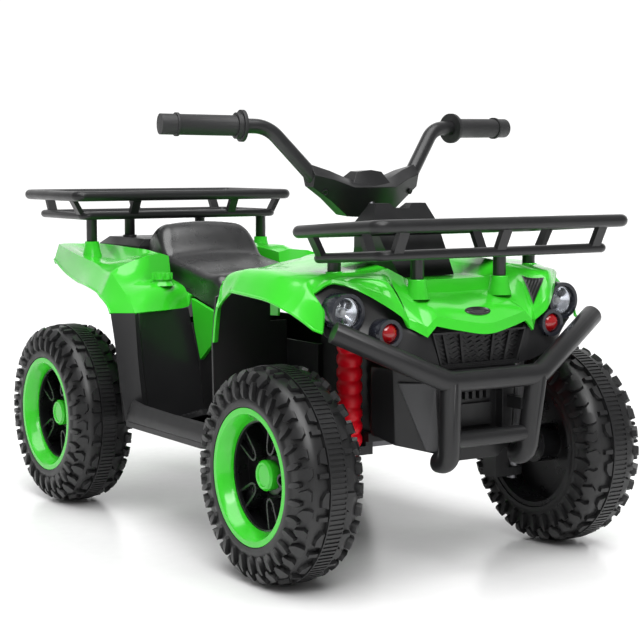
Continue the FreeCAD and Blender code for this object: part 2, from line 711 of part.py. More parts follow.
FRONT_ROWS = [
    [(0, -165, 421), (45, -165, 421), (72, -165, 418), (88, -165, 414), (106, -166, 407), (140, -170, 400),
     (182, -178, 393), (206, -184, 390), (226, -190, 386), (235, -195, 354)],
    [(0, -220, 422), (45, -220, 422), (70, -218, 424), (90, -214, 424), (106, -212, 420), (140, -210, 413),
     (182, -208, 406), (206, -210, 403), (229, -212, 399), (241, -216, 364)],
    [(0, -238, 398), (45, -238, 398), (66, -238, 399), (87, -248, 419), (104, -255, 423), (140, -255, 418),
     (182, -254, 412), (206, -253, 411), (227, -252, 408), (246, -248, 380)],
    [(0, -320, 398), (45, -320, 398), (66, -320, 399), (86, -320, 416), (102, -318, 422), (140, -312, 417),
     (183, -306, 413), (206, -305, 412), (226, -304, 408), (248, -300, 378)],
    [(0, -372, 398), (45, -372, 398), (65, -372, 399), (84, -372, 412), (100, -372, 420), (140, -366, 414),
     (184, -358, 411), (206, -356, 408), (223, -354, 402), (247, -350, 374)],
    [(0, -408, 397), (43, -408, 397), (64, -410, 398), (80, -418, 404), (102, -416, 415), (130, -422, 412),
     (183, -388, 409), (203, -380, 402), (215, -380, 394), (244, -374, 368)],
    [(0, -421, 380), (42, -421, 381), (66, -424, 381), (82, -432, 388), (109, -429, 403), (131, -441, 407),
     (184, -400, 406), (204, -386, 396), (214, -392, 388), (237, -394, 360)],
    [(0, -470, 362), (42, -466, 366), (70, -463, 367), (86, -464, 360), (108, -448, 376), (132, -461, 397),
     (186, -408, 405), (205, -390, 391), (213, -404, 380), (229, -409, 350)],
    [(0, -500, 344), (42, -494, 350), (73, -487, 356), (88, -485, 343), (105, -467, 354), (125, -475, 373),
     (188, -414, 404), (206, -393, 388), (212, -418, 371), (222, -420, 341)],
    [(0, -501, 330), (42, -495, 336), (75, -488, 343), (89, -487, 329), (106, -471, 341), (122, -477, 356),
     (189, -418, 400), (206, -396, 385), (212, -427, 366), (215, -431, 337)],
]

TANK_ROWS = [
    [(0, 42, SEAT_BASE + 62), (40, 42, SEAT_BASE + 61), (68, 42, SEAT_BASE + 55), (90, 42, SEAT_BASE + 40),
     (102, 41, SEAT_BASE + 23), (106, 40, SEAT_BASE + 4)],
    [(0, -60, SEAT_BASE + 83), (42, -60, SEAT_BASE + 82), (72, -60, SEAT_BASE + 76),
     (98, -60, SEAT_BASE + 60),
     (114, -60, SEAT_BASE + 34), (118, -60, SEAT_BASE + 8)],
    [(0, -176, 421), (45, -176, 421), (76, -176, 418), (104, -176, 404), (120, -176, 375), (126, -176, 335)],
]

REAR_ROWS = [
    [(0, 130), (103, 130), (105, 130, 3), (121, 124, 1), (160, 99, 2),
     (205, 79, 3), (231, 70, 3), (245, 127, -1)],
    [(0, 141), (103, 141), (105, 141, 30), (121, 136, 34), (160, 120, 37),
     (200, 114, 33), (223, 116, 23), (243, 140, 9)],
    [(0, 156), (103, 156), (105, 156, 43), (120, 155, 45), (158, 152, 44),
     (198, 150, 42), (221, 152, 34), (240, 160, 16)],
    [(0, 166), (103, 166), (105, 162, 80), (123, 161, 85), (150, 163, 83),
     (196, 180, 69), (216, 184, 58), (237, 180, 21)],
    [(0, 225), (103, 225), (105, 225, 83), (132, 225, 90), (150, 225, 79),
     (195, 220, 69), (211, 216, 59), (230, 207, 26)],
    [(0, 290), (103, 290), (105, 290, 87), (128, 290, 90), (148, 288, 71),
     (190, 270, 69), (203, 262, 67), (219, 270, 32)],
    [(0, 362), (103, 362), (105, 362, 89), (120, 362, 91), (138, 360, 71),
     (180, 350, 76), (193, 345, 75), (204, 337, 34)],
    [(0, 430), (100, 430), (104, 430, 89), (116, 430, 91), (132, 430, 73),
     (168, 425, 83), (181, 425, 83), (189, 420, 45)],
    [(0, 478), (96, 478), (102, 479, 89), (112, 481, 90), (128, 483, 89),
     (154, 486, 90), (168, 490, 89), (176, 492, 62)],
    [(0, 512, 56), (92, 511, 56), (100, 510, 57), (112, 509, 58), (128, 508, 58),
     (150, 506, 58), (162, 504, 58), (170, 500, 55)],
]


def vent_plane():
    corners = [V(*c) for c in VENT_CORNERS]
    normal = (corners[1] - corners[0]).cross(corners[2] - corners[0]).normalize()
    return corners, normal * (-1 if normal.y > 0 else 1)


def front_cover():
    hood = panel([whole_row(row) for row in reversed(FRONT_ROWS)], SHELL)
    tank = panel([whole_row(row) for row in reversed(TANK_ROWS)], SHELL)
    leg = bar(V(230, -197, 376), V(230, -182, 303), 14, SHELL + 1, V(0.86, -0.5, 0))
    pieces = [hood, tank, leg, mirrored(leg)]
    for x, y, top in ((POST_OUTER_X, FRONT_POST_OUTER_Y, FRONT_BOSS_OUTER),
                      (POST_INNER_X, FRONT_POST_INNER_Y, FRONT_BOSS_INNER)):
        for side in (-1, 1):
            pieces.append(rod(V(side * x, y, top - 30), V(side * x, y, top), BOSS_RADIUS))
    corners, normal = vent_plane()
    vent = prism([c - normal * 20 for c in corners], normal * 40)
    body = fused(pieces).cut(pair(vent))
    body = body.cut(rod(column_frame(CRANK_DROP), column_frame(COLUMN_LENGTH), COLUMN_RADIUS + 22))
    return max(body.Solids, key=lambda solid: solid.Volume)


def rear_point(x, y, rise=None):
    """A point at a rise above the seat's base, or without one on the floor under seat and deck."""
    if rise is None:
        return x, y, min(SEAT_BASE + SEAT_SLOPE * (y - SEAT_FRONT), DECK_BASE) - FLOOR_GAP
    return x, y, SEAT_BASE + rise


def rear_cover():
    body = panel([whole_row([rear_point(*p) for p in row]) for row in REAR_ROWS], SHELL)
    bosses = []
    for side in (-1, 1):
        foot = V(side * POST_OUTER_X, REAR_POST_OUTER_Y, REAR_BOSS_OUTER - 28)
        bosses.append(rod(foot, foot + V(0, 0, 28), BOSS_RADIUS))
        neck = V(side * CAP_X, CAP_Y, CAP_SEAT - 11)
        bosses.append(rod(neck, neck + V(0, 0, 11), 15))
    return body.multiFuse(bosses)


# Body panels

def side_body():
    """Footboard, rear fairing and front splash wall of the left side, in one moulding."""
    base = FOOT_FLOOR - FOOT_THICK
    plan = [(TUB_HALF, SPLASH_Y), (FOOT_HALF - 6, SPLASH_Y), (FOOT_HALF, SPLASH_Y + 12),
            (FOOT_HALF, FAIRING_Y + 8),
            (FOOT_HALF - 40, FOOT_BACK), (TUB_HALF, FOOT_BACK)]
    floor = prism([V(x, y, base) for x, y in plan], V(0, 0, FOOT_THICK))
    lip_line = [(SPLASH_Y, base), (SPLASH_Y, FOOT_FLOOR + LIP_FRONT), (FAIRING_Y, FOOT_FLOOR + LIP_BACK),
                (FAIRING_Y, base)]
    lip = prism([V(FOOT_HALF - LIP_WIDTH, y, z) for y, z in lip_line], V(LIP_WIDTH, 0, 0))
    low = FOOT_FLOOR - 1
    top = FAIRING_TOP - SEAM
    fairing = panel([
        [(TUB_HALF + SEAM, 73, low), (FOOT_HALF - 20, FAIRING_Y, low), (FOOT_HALF, 78, low),
         (FOOT_HALF - 3, 92, low)],
        [(TUB_HALF + SEAM, 111, top - 1), (FOOT_HALF - 15, FAIRING_Y + 1, top), (FOOT_HALF, 126, top - 4),
         (FOOT_HALF - 5, 133, top - 4)],
    ], SHELL)
    edge = [(TUB_HALF, base), (FOOT_HALF - 17, base), (FOOT_HALF - 14, 300), (FOOT_HALF - 20, 366),
            (FOOT_HALF - 39, 372), (FOOT_HALF - 63, 378), (SPLASH_INNER, 384), (SPLASH_INNER, SPLASH_STEP),
            (TUB_HALF, SPLASH_STEP)]
    splash = prism([V(x, SPLASH_Y, z) for x, z in edge], V(0, SPLASH_THICK, 0))
    return fused([floor, lip, fairing, splash])


def pedal_ears():
    half = PEDAL_WIDTH / 2
    ears = []
    for x in (-PEDAL_X - half - SIDE_PLAY - EAR_WIDTH, -PEDAL_X + half + SIDE_PLAY):
        ears.append(box(x, x + EAR_WIDTH, PEDAL_Y - 8, PEDAL_Y + 8, FOOT_FLOOR - 1, PEDAL_PIVOT_Z + 7))
    return ears


def pedal_shaft(radius):
    half = PEDAL_WIDTH / 2 + SIDE_PLAY + EAR_WIDTH
    return rod(V(-PEDAL_X - half, PEDAL_Y, PEDAL_PIVOT_Z), V(-PEDAL_X + half, PEDAL_Y, PEDAL_PIVOT_Z), radius)


def side_body_right():
    body = mirrored(side_body()).multiFuse(pedal_ears())
    return body.cut(pedal_shaft(PEDAL_SHAFT + RUN_FIT))


def accelerator_pedal():
    """A ribbed foot plate that rises forwards from its heel shaft."""
    half = PEDAL_WIDTH / 2
    plate = box(-PEDAL_X - half, -PEDAL_X + half, PEDAL_Y - PEDAL_LENGTH, PEDAL_Y, PEDAL_PIVOT_Z - 3,
                PEDAL_PIVOT_Z + 4)
    heel = rod(V(-PEDAL_X - half, PEDAL_Y, PEDAL_PIVOT_Z), V(-PEDAL_X + half, PEDAL_Y, PEDAL_PIVOT_Z),
               PEDAL_SHAFT + 3)
    ribs = [box(-PEDAL_X - half + 5, -PEDAL_X + half - 5, PEDAL_Y - 18 - 14 * k - 6, PEDAL_Y - 18 - 14 * k,
                PEDAL_PIVOT_Z + 3, PEDAL_PIVOT_Z + 7) for k in range(5)]
    body = fused([plate, heel, pedal_shaft(PEDAL_SHAFT)] + ribs)
    body.rotate(V(-PEDAL_X, PEDAL_Y, PEDAL_PIVOT_Z), V(1, 0, 0), -PEDAL_TILT)
    return body


def knee_trim():
    outline = [(106, 18), (42, 4), (23, 1), (33, -45), (78, -78), (97, -29)]
    return prism([V(TUB_HALF, y, SEAT_BASE + drop) for y, drop in outline], V(KNEE_THICK, 0, 0))


def screw_heads():
    heads = []
    for side in (-1, 1):
        for z in (215, 245):
            foot = V(side * 135, SPLASH_Y + SPLASH_THICK, z)
            heads.append(rod(foot, foot + V(0, 2.5, 0), 4))
    return Part.makeCompound(heads)


# Seat and deck

SEAT_STATIONS = [
    (0, 92, 84, 40, 3, 12), (12, 97, 91, 52, 4, 14), (43, 99, 94, 57, 5, 15), (103, 99, 93, 65, 5, 15),
    (160, 99, 93, 73, 5, 15), (186, 99, 92, 83, 5, 16), (204, 99, 91, 108, 5, 22), (221, 98, 89, 125, 4, 26),
    (238, 97, 87, 128, 4, 27), (256, 96, 85, 118, 4, 24), (268, 93, 80, 98, 3, 18),
]


def seat():
    """A moulded saddle: crowned top, drawn-in sides and a hump at the back."""
    wires = []
    for run, low, high, rise, crown, corner in SEAT_STATIONS:
        y = SEAT_FRONT + run
        top = SEAT_BASE + rise
        base = SEAT_BASE + SEAT_SLOPE * run + SEAM
        scale = SEAT_HALF / 100.0
        low *= scale
        high *= scale
        side = V(high, y, top - corner)
        edge = V(high - corner, y, top)
        knee = V(high - corner * 0.293, y, top - corner * 0.293)
        waist = V((low + high) / 2 - 2.5, y, (base + top - corner) / 2)
        foot = V(low, y, base)
        arcs = [Part.LineSegment(flip(foot), foot), Part.Arc(foot, waist, side), Part.Arc(side, knee, edge)]
        arcs += [Part.Arc(edge, V(0, y, top + crown), flip(edge)),
                 Part.Arc(flip(edge), flip(knee), flip(side))]
        arcs += [Part.Arc(flip(side), flip(waist), flip(foot))]
        wires.append(Part.Wire([a.toShape() for a in arcs]))
    body = Part.makeLoft(wires, True, False)
    front = SEAT_FRONT + 30
    back = SEAT_FRONT + 246
    low = SEAT_BASE - 5
    step = SEAT_FRONT + 220
    side_line = [(front, low), (front, low + 39), (step, low + 61), (step, low + 103), (back, low + 103),
                 (back, low)]
    half = SEAT_HALF - 26
    return body.cut(prism([V(-half, y, z) for y, z in side_line], V(2 * half, 0, 0)))


def rear_deck():
    """The black deck between the rear fenders, with raised bosses for the inner rack posts."""
    rings = []
    for half, front, back, z in ((DECK_HALF, DECK_FRONT, DECK_BACK, DECK_BASE),
                                 (DECK_HALF, DECK_FRONT, DECK_BACK, DECK_BASE + 12),
                                 (DECK_HALF - 14, DECK_FRONT + 4, DECK_BACK - 12, DECK_TOP)):
        ring = [V(-half, front, z), V(half, front, z), V(half, back, z), V(-half, back, z)]
        rings.append(Part.makePolygon(ring + ring[:1]))
    body = Part.makeLoft(rings, True, True)
    bosses = []
    for side in (-1, 1):
        foot = V(side * POST_INNER_X, REAR_POST_INNER_Y, DECK_TOP - 10)
        bosses.append(rod(foot, foot + V(0, 0, 10 + DECK_BOSS), BOSS_RADIUS))
    return body.multiFuse(bosses)


def fuel_cap():
    top = rod(V(CAP_X, CAP_Y, CAP_SEAT), V(CAP_X, CAP_Y, CAP_SEAT + 11), 17)
    notches = []
    for k in range(8):
        angle = math.radians(45 * k)
        spot = V(CAP_X + 19 * math.cos(angle), CAP_Y + 19 * math.sin(angle), CAP_SEAT + 2)
        notches.append(rod(spot, spot + V(0, 0, 20), 4.5))
    return top.cut(fused(notches))


# Racks

def rack(front, back, ring_z, base_z, outer_post, inner_post, tilt):
    """A moulded carrier: a tilted top ring over a base ring, flat struts, crossbars and four posts.

    outer_post and inner_post are (y, foot z) of the two pairs of posts.
    """
    middle = (front + back) / 2
    lean = math.radians(tilt)

    def ring(half, y0, y1, z, radius):
        corners = [(half, y0), (half, y1), (-half, y1), (-half, y0)]
        points = [V(x, y, z + (y - middle) * math.tan(lean)) for x, y in corners]
        start = (points[3] + points[0]) * 0.5
        return tube_ring(points, start, radius)

    inset = RACK_BASE_INSET
    base_half = RACK_HALF - inset
    base_front = front + inset
    base_back = back - inset
    pieces = [ring(RACK_HALF, front, back, ring_z, RING_TUBE),
              ring(base_half, base_front, base_back, base_z, BASE_TUBE)]

    def strut(x0, y0, x1, y1, across):
        low = V(x0, y0, base_z + (y0 - middle) * math.tan(lean))
        high = V(x1, y1, ring_z + (y1 - middle) * math.tan(lean))
        pieces.append(bar(low, high, STRUT_WIDTH, STRUT_THICK, across))

    ends = [(base_front, front), (base_back, back)]
    outer_end = ends[0] if inner_post[0] < outer_post[0] else ends[1]
    inner_end = ends[1] if outer_end is ends[0] else ends[0]
    for x in (-STRUT_OUTER_X, 0, STRUT_OUTER_X):
        strut(x, outer_end[0], x, outer_end[1], V(1, 0, 0))
    for sign in (-1, 1):
        strut(sign * STRUT_INNER_X, inner_end[0], sign * STRUT_INNER_X, inner_end[1], V(1, 0, 0))
        strut(sign * base_half, outer_post[0], sign * RACK_HALF, outer_post[0], V(0, 1, 0))
    for x, (y, foot) in ((POST_OUTER_X, outer_post), (POST_INNER_X, inner_post)):
        level = base_z + (y - middle) * math.tan(lean)
        pieces.append(box(-base_half, base_half, y - CROSSBAR_WIDTH / 2, y + CROSSBAR_WIDTH / 2,
                          level - CROSSBAR_HEIGHT / 2, level + CROSSBAR_HEIGHT / 2))
        for sign in (-1, 1):
            pieces.append(rod(V(sign * x, y, foot), V(sign * x, y, level), RACK_POST))
    return fused(pieces)


def tube_ring(points, start, radius):
    """A closed rounded ring of tube, made as two halves that meet at start and opposite it."""
    opposite = (points[1] + points[2]) * 0.5
    first = tube([start, points[0], points[1], opposite], radius, RACK_CORNER)
    second = tube([opposite, points[2], points[3], start], radius, RACK_CORNER)
    return first.fuse(second)


# Front end

def front_bumper():
    upper = tube([flip(BUMPER_END), flip(BUMPER_BEND), BUMPER_BEND, BUMPER_END], BUMPER_TUBE, 34)
    pieces = [upper]
    for turn in (lambda p: p, flip):
        knee = turn(BUMPER_FOOT)
        tail = turn(V(BUMPER_FOOT.x, GUARD_FRONT - BUMPER_TAIL_GAP, BUMPER_FOOT.z))
        head = turn(BUMPER_BEND + V(-4, 0, 0))
        pieces.append(tube([head, knee, tail], BUMPER_TUBE, 18))
    stay_x = BUMPER_FOOT.x - BUMPER_TUBE / 2
    pieces += [box(x - STAY_HALF, x + STAY_HALF, BUMPER_FOOT.y - 4, GUARD_FRONT, STAY_Z, STAY_Z + STAY_HEIGHT)
               for x in (-stay_x, stay_x)]
    left = V(BUMPER_FOOT.x + 1, BUMPER_FOOT.y - 3, BUMPER_CROSS_Z)
    pieces.append(rod(flip(left), left, BUMPER_CROSS))
    return fused(pieces)


def lower_guard():
    """The black box under the grille, with a recessed slot panel behind the bumper."""
    def ring(half, mid, mid_y, nose, level, slope):
        right = []
        for x, y in ((half, NOSE_FRONT), (mid, mid_y), (nose, GUARD_FRONT)):
            right.append(V(x, y, level + slope * (y - GUARD_FRONT)))
        points = right + [flip(p) for p in reversed(right)]
        return Part.makePolygon(points + points[:1])

    def slab(upper, lower):
        return Part.makeLoft([upper, lower], True, True)

    upper = slab(ring(GUARD_HALF, 112, -442, 66, GUARD_TOP, 0),
                 ring(GUARD_HALF, 106, -438, 58, GUARD_WAIST, GUARD_SLOPE))
    keel = slab(ring(72, 64, -436, 50, GUARD_WAIST + 1, GUARD_SLOPE),
                ring(50, 46, -434, 36, GUARD_BOTTOM, GUARD_SLOPE))
    body = upper.fuse(keel)
    hollow = box(-90, 90, NOSE_FRONT - 34, NOSE_FRONT + 1, 200, GUARD_TOP - TUB_WALL)
    half = WINDOW_HALF
    window = box(-half, half, GUARD_FRONT - 1, GUARD_FRONT + WINDOW_DEPTH, WINDOW_LOW, WINDOW_HIGH)
    back = GUARD_FRONT + WINDOW_DEPTH + 1
    ledge = box(-half, half, GUARD_FRONT + 2, back, WINDOW_HIGH - 16, WINDOW_HIGH - 11)
    slats = [box(x - 3, x + 3, GUARD_FRONT + 6, back, WINDOW_HIGH - 30, WINDOW_HIGH - 15)
             for x in range(-24, 25, 12)]
    plate = box(-half + 12, half - 12, GUARD_FRONT + 8, back, WINDOW_LOW + 6, WINDOW_HIGH - 36)
    return body.cut(hollow).cut(window).multiFuse([ledge, plate] + slats)


def guard_pad():
    """A raised trapezoid pad on the guard's front corner face."""
    a = V(112, -442, GUARD_TOP)
    b = V(66, GUARD_FRONT, GUARD_TOP)
    c = V(58, GUARD_FRONT, GUARD_WAIST)
    d = V(106, -438, GUARD_WAIST + GUARD_SLOPE * (-438 - GUARD_FRONT))

    def spot(u, v):
        return a * ((1 - u) * (1 - v)) + b * (u * (1 - v)) + c * (u * v) + d * ((1 - u) * v)

    rows = [[spot(0.95, 0.16), spot(0.95, 0.97)], [spot(0.1, 0.16), spot(0.66, 0.97)]]
    out = V(0.62, -0.78, 0)
    rows = [[tuple(p + out * (PAD_THICK + SEAM)) for p in row] for row in rows]
    return panel(rows, PAD_THICK)


FASCIA_ROWS = [
    [(0, -489, 337), (42, -485, 341), (68, -479, 347), (90, -477, 332), (110, -466, 340), (147, -443, 369),
     (184, -411, 391), (202, -398, 378), (207, -423, 346)],
    [(0, -488, 310), (42, -486, 312), (68, -482, 314), (90, -479, 312), (114, -471, 319), (148, -455, 336),
     (184, -431, 357), (202, -422, 356), (207, -426, 342)],
    [(0, -486, 285), (42, -485, 285), (68, -484, 285), (92, -481, 289), (114, -477, 295), (150, -466, 308),
     (186, -446, 322), (202, -433, 330), (208, -429, 335)],
]


def grille_outline(margin):
    top = GRILLE_HALF - margin
    low = GRILLE_HALF - GRILLE_TAPER - margin
    return [(-top, GRILLE_TOP - margin), (top, GRILLE_TOP - margin), (low, GRILLE_BOTTOM + margin),
            (-low, GRILLE_BOTTOM + margin)]


def light_hole(centre, radius):
    return rod(centre + V(0, 60, 0), centre - V(0, 60, 0), radius)


def front_fascia():
    sheet = panel([whole_row(row) for row in reversed(FASCIA_ROWS)], SHELL)
    tabs = [box(x - 10, x + 10, -485.5, GUARD_FRONT + 14, GUARD_TOP, GUARD_TOP + 5) for x in (-46, 46)]
    body = sheet.multiFuse(tabs)
    body = body.cut(prism([V(x, -530, z) for x, z in grille_outline(0)], V(0, 80, 0)))
    for side in (lambda p: p, flip):
        body = body.cut(light_hole(side(HEADLIGHT), HEADLIGHT_RADIUS + BEZEL_WALL + FIXED_FIT))
        body = body.cut(light_hole(side(INDICATOR), INDICATOR_RADIUS + BEZEL_WALL + FIXED_FIT))
    return max(body.Solids, key=lambda solid: solid.Volume)


def grille():
    """A tray that fills the fascia's opening: rim, back plate, slanted ribs and cross bars."""
    edge = [V(x, GRILLE_Y - GRILLE_DEPTH, z) for x, z in grille_outline(SEAM)]
    outer = prism(edge, V(0, GRILLE_DEPTH + 4, 0))
    inside = [V(x, GRILLE_Y - GRILLE_DEPTH - 1, z) for x, z in grille_outline(SEAM + GRILLE_RIM)]
    tray = outer.cut(prism(inside, V(0, GRILLE_DEPTH + 1, 0)))
    pieces = [tray]
    low = GRILLE_BOTTOM + SEAM
    high = GRILLE_TOP - SEAM
    for x in (-54, -27, 27, 54):
        foot = V(x * 0.8, GRILLE_Y - 2, low + 2)
        pieces.append(bar(foot, V(x, GRILLE_Y - 2, high - 2), 5, 6, V(1, 0, 0)))
    for z in range(int(low) + 5, int(high) - 2, 8):
        half = GRILLE_HALF - GRILLE_TAPER * (GRILLE_TOP - z) / (GRILLE_TOP - GRILLE_BOTTOM) - 2
        pieces.append(box(-half, half, GRILLE_Y - 2, GRILLE_Y + 1, z, z + 2))
    return fused(pieces)


def bezel(centre, radius, depth):
    outer = rod(centre - V(0, 6, 0), centre + V(0, depth, 0), radius + BEZEL_WALL)
    seat_hole = rod(centre - V(0, 7, 0), centre + V(0, depth - 4, 0), radius + FIXED_FIT)
    return outer.cut(seat_hole)


def lens(centre, radius, depth, dome):
    body = rod(centre, centre + V(0, depth - 4, 0), radius)
    curve = (radius * radius + dome * dome) / (2 * dome)
    ball = Part.makeSphere(curve, centre + V(0, curve - dome, 0))
    return body.fuse(ball.common(rod(centre - V(0, dome + 1, 0), centre + V(0, 1, 0), radius)))


def cowl_rings():
    """Half width, front, back and height of four rings, which follow the column up from the hood."""
    top = column_frame(COLUMN_LENGTH).z - COWL_GAP
    shoulder = top - COWL_LOBE
    bottom = HOOD_FLOOR + SEAM
    waist = bottom + (shoulder - bottom) * 0.52
    rings = []
    for half, front, back, z in ((46, 101, 18, bottom), (52, 88, -12, waist), (55, 79, -31, shoulder),
                                 (43, 78, -63, top)):
        axis_y = column_at(z).y
        rings.append((half, axis_y - front, axis_y + back, z))
    return rings


def control_spot(x):
    """The middle of a control on the cowl's rear face."""
    waist, shoulder = cowl_rings()[1:3]
    return V(x, waist[2] * 0.55 + shoulder[2] * 0.45, waist[3] * 0.55 + shoulder[3] * 0.45)


def dash_cowl():
    """The black cowl in front of the handlebar: two lobes with a recess between them."""
    wires = []
    for half, front, back, z in cowl_rings():
        ring = [V(-half, front, z), V(half, front, z), V(half, back, z), V(-half, back, z)]
        wires.append(Part.makePolygon(ring + ring[:1]))
    body = Part.makeLoft(wires, True, True)
    bottom = cowl_rings()[0]
    top = cowl_rings()[3]
    notch = [V(x, top[1] - 30, top[3] + rise) for x, rise in ((-20, 1), (20, 1), (12, -7), (-12, -7))]
    recess = prism(notch, V(0, top[2] - top[1] + 60, 0))
    inner = bottom[0] - 12
    hollow = box(-inner, inner, bottom[1] + 30, bottom[2] - 30, bottom[3] - 8,
                 bottom[3] + (top[3] - bottom[3]) * 0.4)
    column = rod(column_frame(CRANK_DROP), column_frame(COLUMN_LENGTH), COLUMN_RADIUS + 1)
    button = control_spot(-CONTROL_X)
    well = rod(button - V(0, 14, 0), button + V(0, 20, 0), BUTTON_RADIUS + SIDE_PLAY)
    wide, tall, deep = SWITCH_SIZE
    spot = control_spot(CONTROL_X)
    gap = wide / 2 + SIDE_PLAY
    pocket = box(spot.x - gap, spot.x + gap, spot.y - deep - 3, spot.y + 20,
                 spot.z - tall / 2 - 1.5, spot.z + tall / 2 + 1.5)
    pin = switch_pin(SWITCH_PIN + RUN_FIT, PIN_REACH + SIDE_PLAY)
    return body.cut(recess).cut(hollow).cut(column).cut(well).cut(pocket).cut(pin)


def switch_pin(radius, reach):
    """The rocker's pivot, which reaches into the cowl on both sides."""
    half = SWITCH_SIZE[0] / 2 + SIDE_PLAY + reach
    middle = control_spot(CONTROL_X) - V(0, SWITCH_SIZE[2] / 4, 0)
    return rod(middle - V(half, 0, 0), middle + V(half, 0, 0), radius)


def power_button():
    spot = control_spot(-CONTROL_X)
    return rod(spot - V(0, 9, 0), spot + V(0, 4, 0), BUTTON_RADIUS)


def direction_switch():
    """A rocker, seen from the side as a shallow V, that tips about its middle."""
    wide, tall, deep = SWITCH_SIZE
    spot = control_spot(CONTROL_X)
    x = spot.x - wide / 2
    outline = [(spot.y + 4, spot.z + tall / 2), (spot.y + 1.5, spot.z), (spot.y + 4, spot.z - tall / 2),
               (spot.y - deep / 2, spot.z - tall / 4), (spot.y - deep / 2, spot.z + tall / 4)]
    return prism([V(x, y, z) for y, z in outline], V(wide, 0, 0)).fuse(switch_pin(SWITCH_PIN, PIN_REACH))


def hood_vent():
    """A black triangular insert that fills the opening in the wing's front slope."""
    corners, normal = vent_plane()
    middle = (corners[0] + corners[1] + corners[2]) * (1 / 3)
    inset = [c + (middle - c).normalize() * (2 * SEAM) - normal * 3 for c in corners]
    return prism(inset, normal * 4)


# Nodes, each written to its own file

def save(name, shape):
    """Writes one piece, set down so that the tyres stand on the floor."""
    shape.translated(V(0, 0, WHEEL_RADIUS - AXLE_Z)).exportStep("parts/" + name + ".step")


def save_wheel(name, axle_y, side):
    for piece, shape in WHEEL_PIECES.items():
        placed = shape.translated(V(TYRE_PLANE, axle_y, AXLE_Z))
        save(piece + "_" + name, placed if side > 0 else mirrored(placed))


os.makedirs("parts", exist_ok=True)

WHEEL_PIECES = {"tyre": tyre(), "rim": rim(), "rim_ring": rim_ring(), "hub_cap": hub_cap()}
save_wheel("front_right", FRONT_AXLE_Y, -1)
save_wheel("front_left", FRONT_AXLE_Y, 1)
save_wheel("rear_right", REAR_AXLE_Y, -1)
save_wheel("rear_left", REAR_AXLE_Y, 1)

save("knuckle_left", knuckle())
save("knuckle_right", mirrored(knuckle()))
save("axle_nut_left", axle_nut(FRONT_AXLE_Y))
save("axle_nut_right", mirrored(axle_nut(FRONT_AXLE_Y)))
save("kingpins", pair(kingpin()))
save("tie_bar", tie_bar())
save("steering_column", steering_column())
save("handlebar", handlebar_tube(BAR_RADIUS))
save("handlebar_cover", handlebar_cover())
save("grip_left", grip())
save("grip_right", mirrored(grip()))
save("chassis_tub", chassis_tub())
save("gearboxes", pair(gearbox()))
save("drive_motors", pair(drive_motor()))
save("rear_axle", rear_axle())
save("rear_axle_nuts", pair(axle_nut(REAR_AXLE_Y)))
save("battery", battery())
save("control_box", control_box())
save("front_shocks", pair(shock()))
save("front_cover", front_cover())
save("rear_cover", rear_cover())
save("side_body_left", side_body())
save("side_body_right", side_body_right())
save("accelerator_pedal", accelerator_pedal())
save("knee_trims", pair(knee_trim()))
save("body_screws", screw_heads())
save("seat", seat())
save("rear_deck", rear_deck())
save("fuel_caps", pair(fuel_cap()))
save("front_rack", rack(FRONT_RACK_FRONT, FRONT_RACK_BACK, FRONT_RING_Z, FRONT_BASE_Z,
                        (FRONT_POST_OUTER_Y, FRONT_BOSS_OUTER), (FRONT_POST_INNER_Y, FRONT_BOSS_INNER),
                        -RACK_TILT))
save("rear_rack", rack(REAR_RACK_FRONT, REAR_RACK_BACK, REAR_RING_Z, REAR_BASE_Z,
                       (REAR_POST_OUTER_Y, REAR_BOSS_OUTER), (REAR_POST_INNER_Y, DECK_TOP + 4), 0.0))
save("front_bumper", front_bumper())
save("lower_guard", lower_guard())
save("guard_pads", pair(guard_pad()))
save("front_fascia", front_fascia())
save("grille", grille())
save("headlight_bezels", pair(bezel(HEADLIGHT, HEADLIGHT_RADIUS, 22)))
save("headlight_lenses", pair(lens(HEADLIGHT, HEADLIGHT_RADIUS, 22, 7)))
save("indicator_bezels", pair(bezel(INDICATOR, INDICATOR_RADIUS, 18)))
save("indicator_lenses", pair(lens(INDICATOR, INDICATOR_RADIUS, 18, 8)))
save("dash_cowl", dash_cowl())
save("power_button", power_button())
save("direction_switch", direction_switch())
save("hood_vents", pair(hood_vent()))
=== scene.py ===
# The looks of the kids quad bike: a finish for every solid, and modelled shells, tyres, lights, vents
# and grille where the solids are plain.
import json
import math

import bpy
import numpy as np
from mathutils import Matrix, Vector


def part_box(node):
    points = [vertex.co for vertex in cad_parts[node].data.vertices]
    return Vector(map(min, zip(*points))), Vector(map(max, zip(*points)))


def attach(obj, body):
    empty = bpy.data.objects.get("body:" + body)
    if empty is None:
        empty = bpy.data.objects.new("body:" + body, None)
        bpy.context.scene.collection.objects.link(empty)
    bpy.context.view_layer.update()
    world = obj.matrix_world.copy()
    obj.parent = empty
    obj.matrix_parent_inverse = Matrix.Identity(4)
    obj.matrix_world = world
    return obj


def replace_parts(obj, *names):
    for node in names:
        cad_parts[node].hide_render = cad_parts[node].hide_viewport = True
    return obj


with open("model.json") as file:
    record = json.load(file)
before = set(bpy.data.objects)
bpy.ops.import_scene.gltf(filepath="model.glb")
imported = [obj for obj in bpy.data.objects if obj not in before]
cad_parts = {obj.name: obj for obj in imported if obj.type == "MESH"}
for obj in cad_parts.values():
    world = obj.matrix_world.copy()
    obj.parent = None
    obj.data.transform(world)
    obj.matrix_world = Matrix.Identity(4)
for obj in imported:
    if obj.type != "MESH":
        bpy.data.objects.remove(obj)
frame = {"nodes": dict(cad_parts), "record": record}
NODES = frame["nodes"]
SLOT_OF = {part["node"]: part["material_slot"] for part in frame["record"]["subparts"]}
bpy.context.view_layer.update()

# Sizes in millimetres, in the frame of the solids
MM = 0.001
WHEELS = ("front_right", "front_left", "rear_right", "rear_left")
SHELL = 3.0
SHELL_ROUND = 0.6
LIP_RADIUS = 2.0
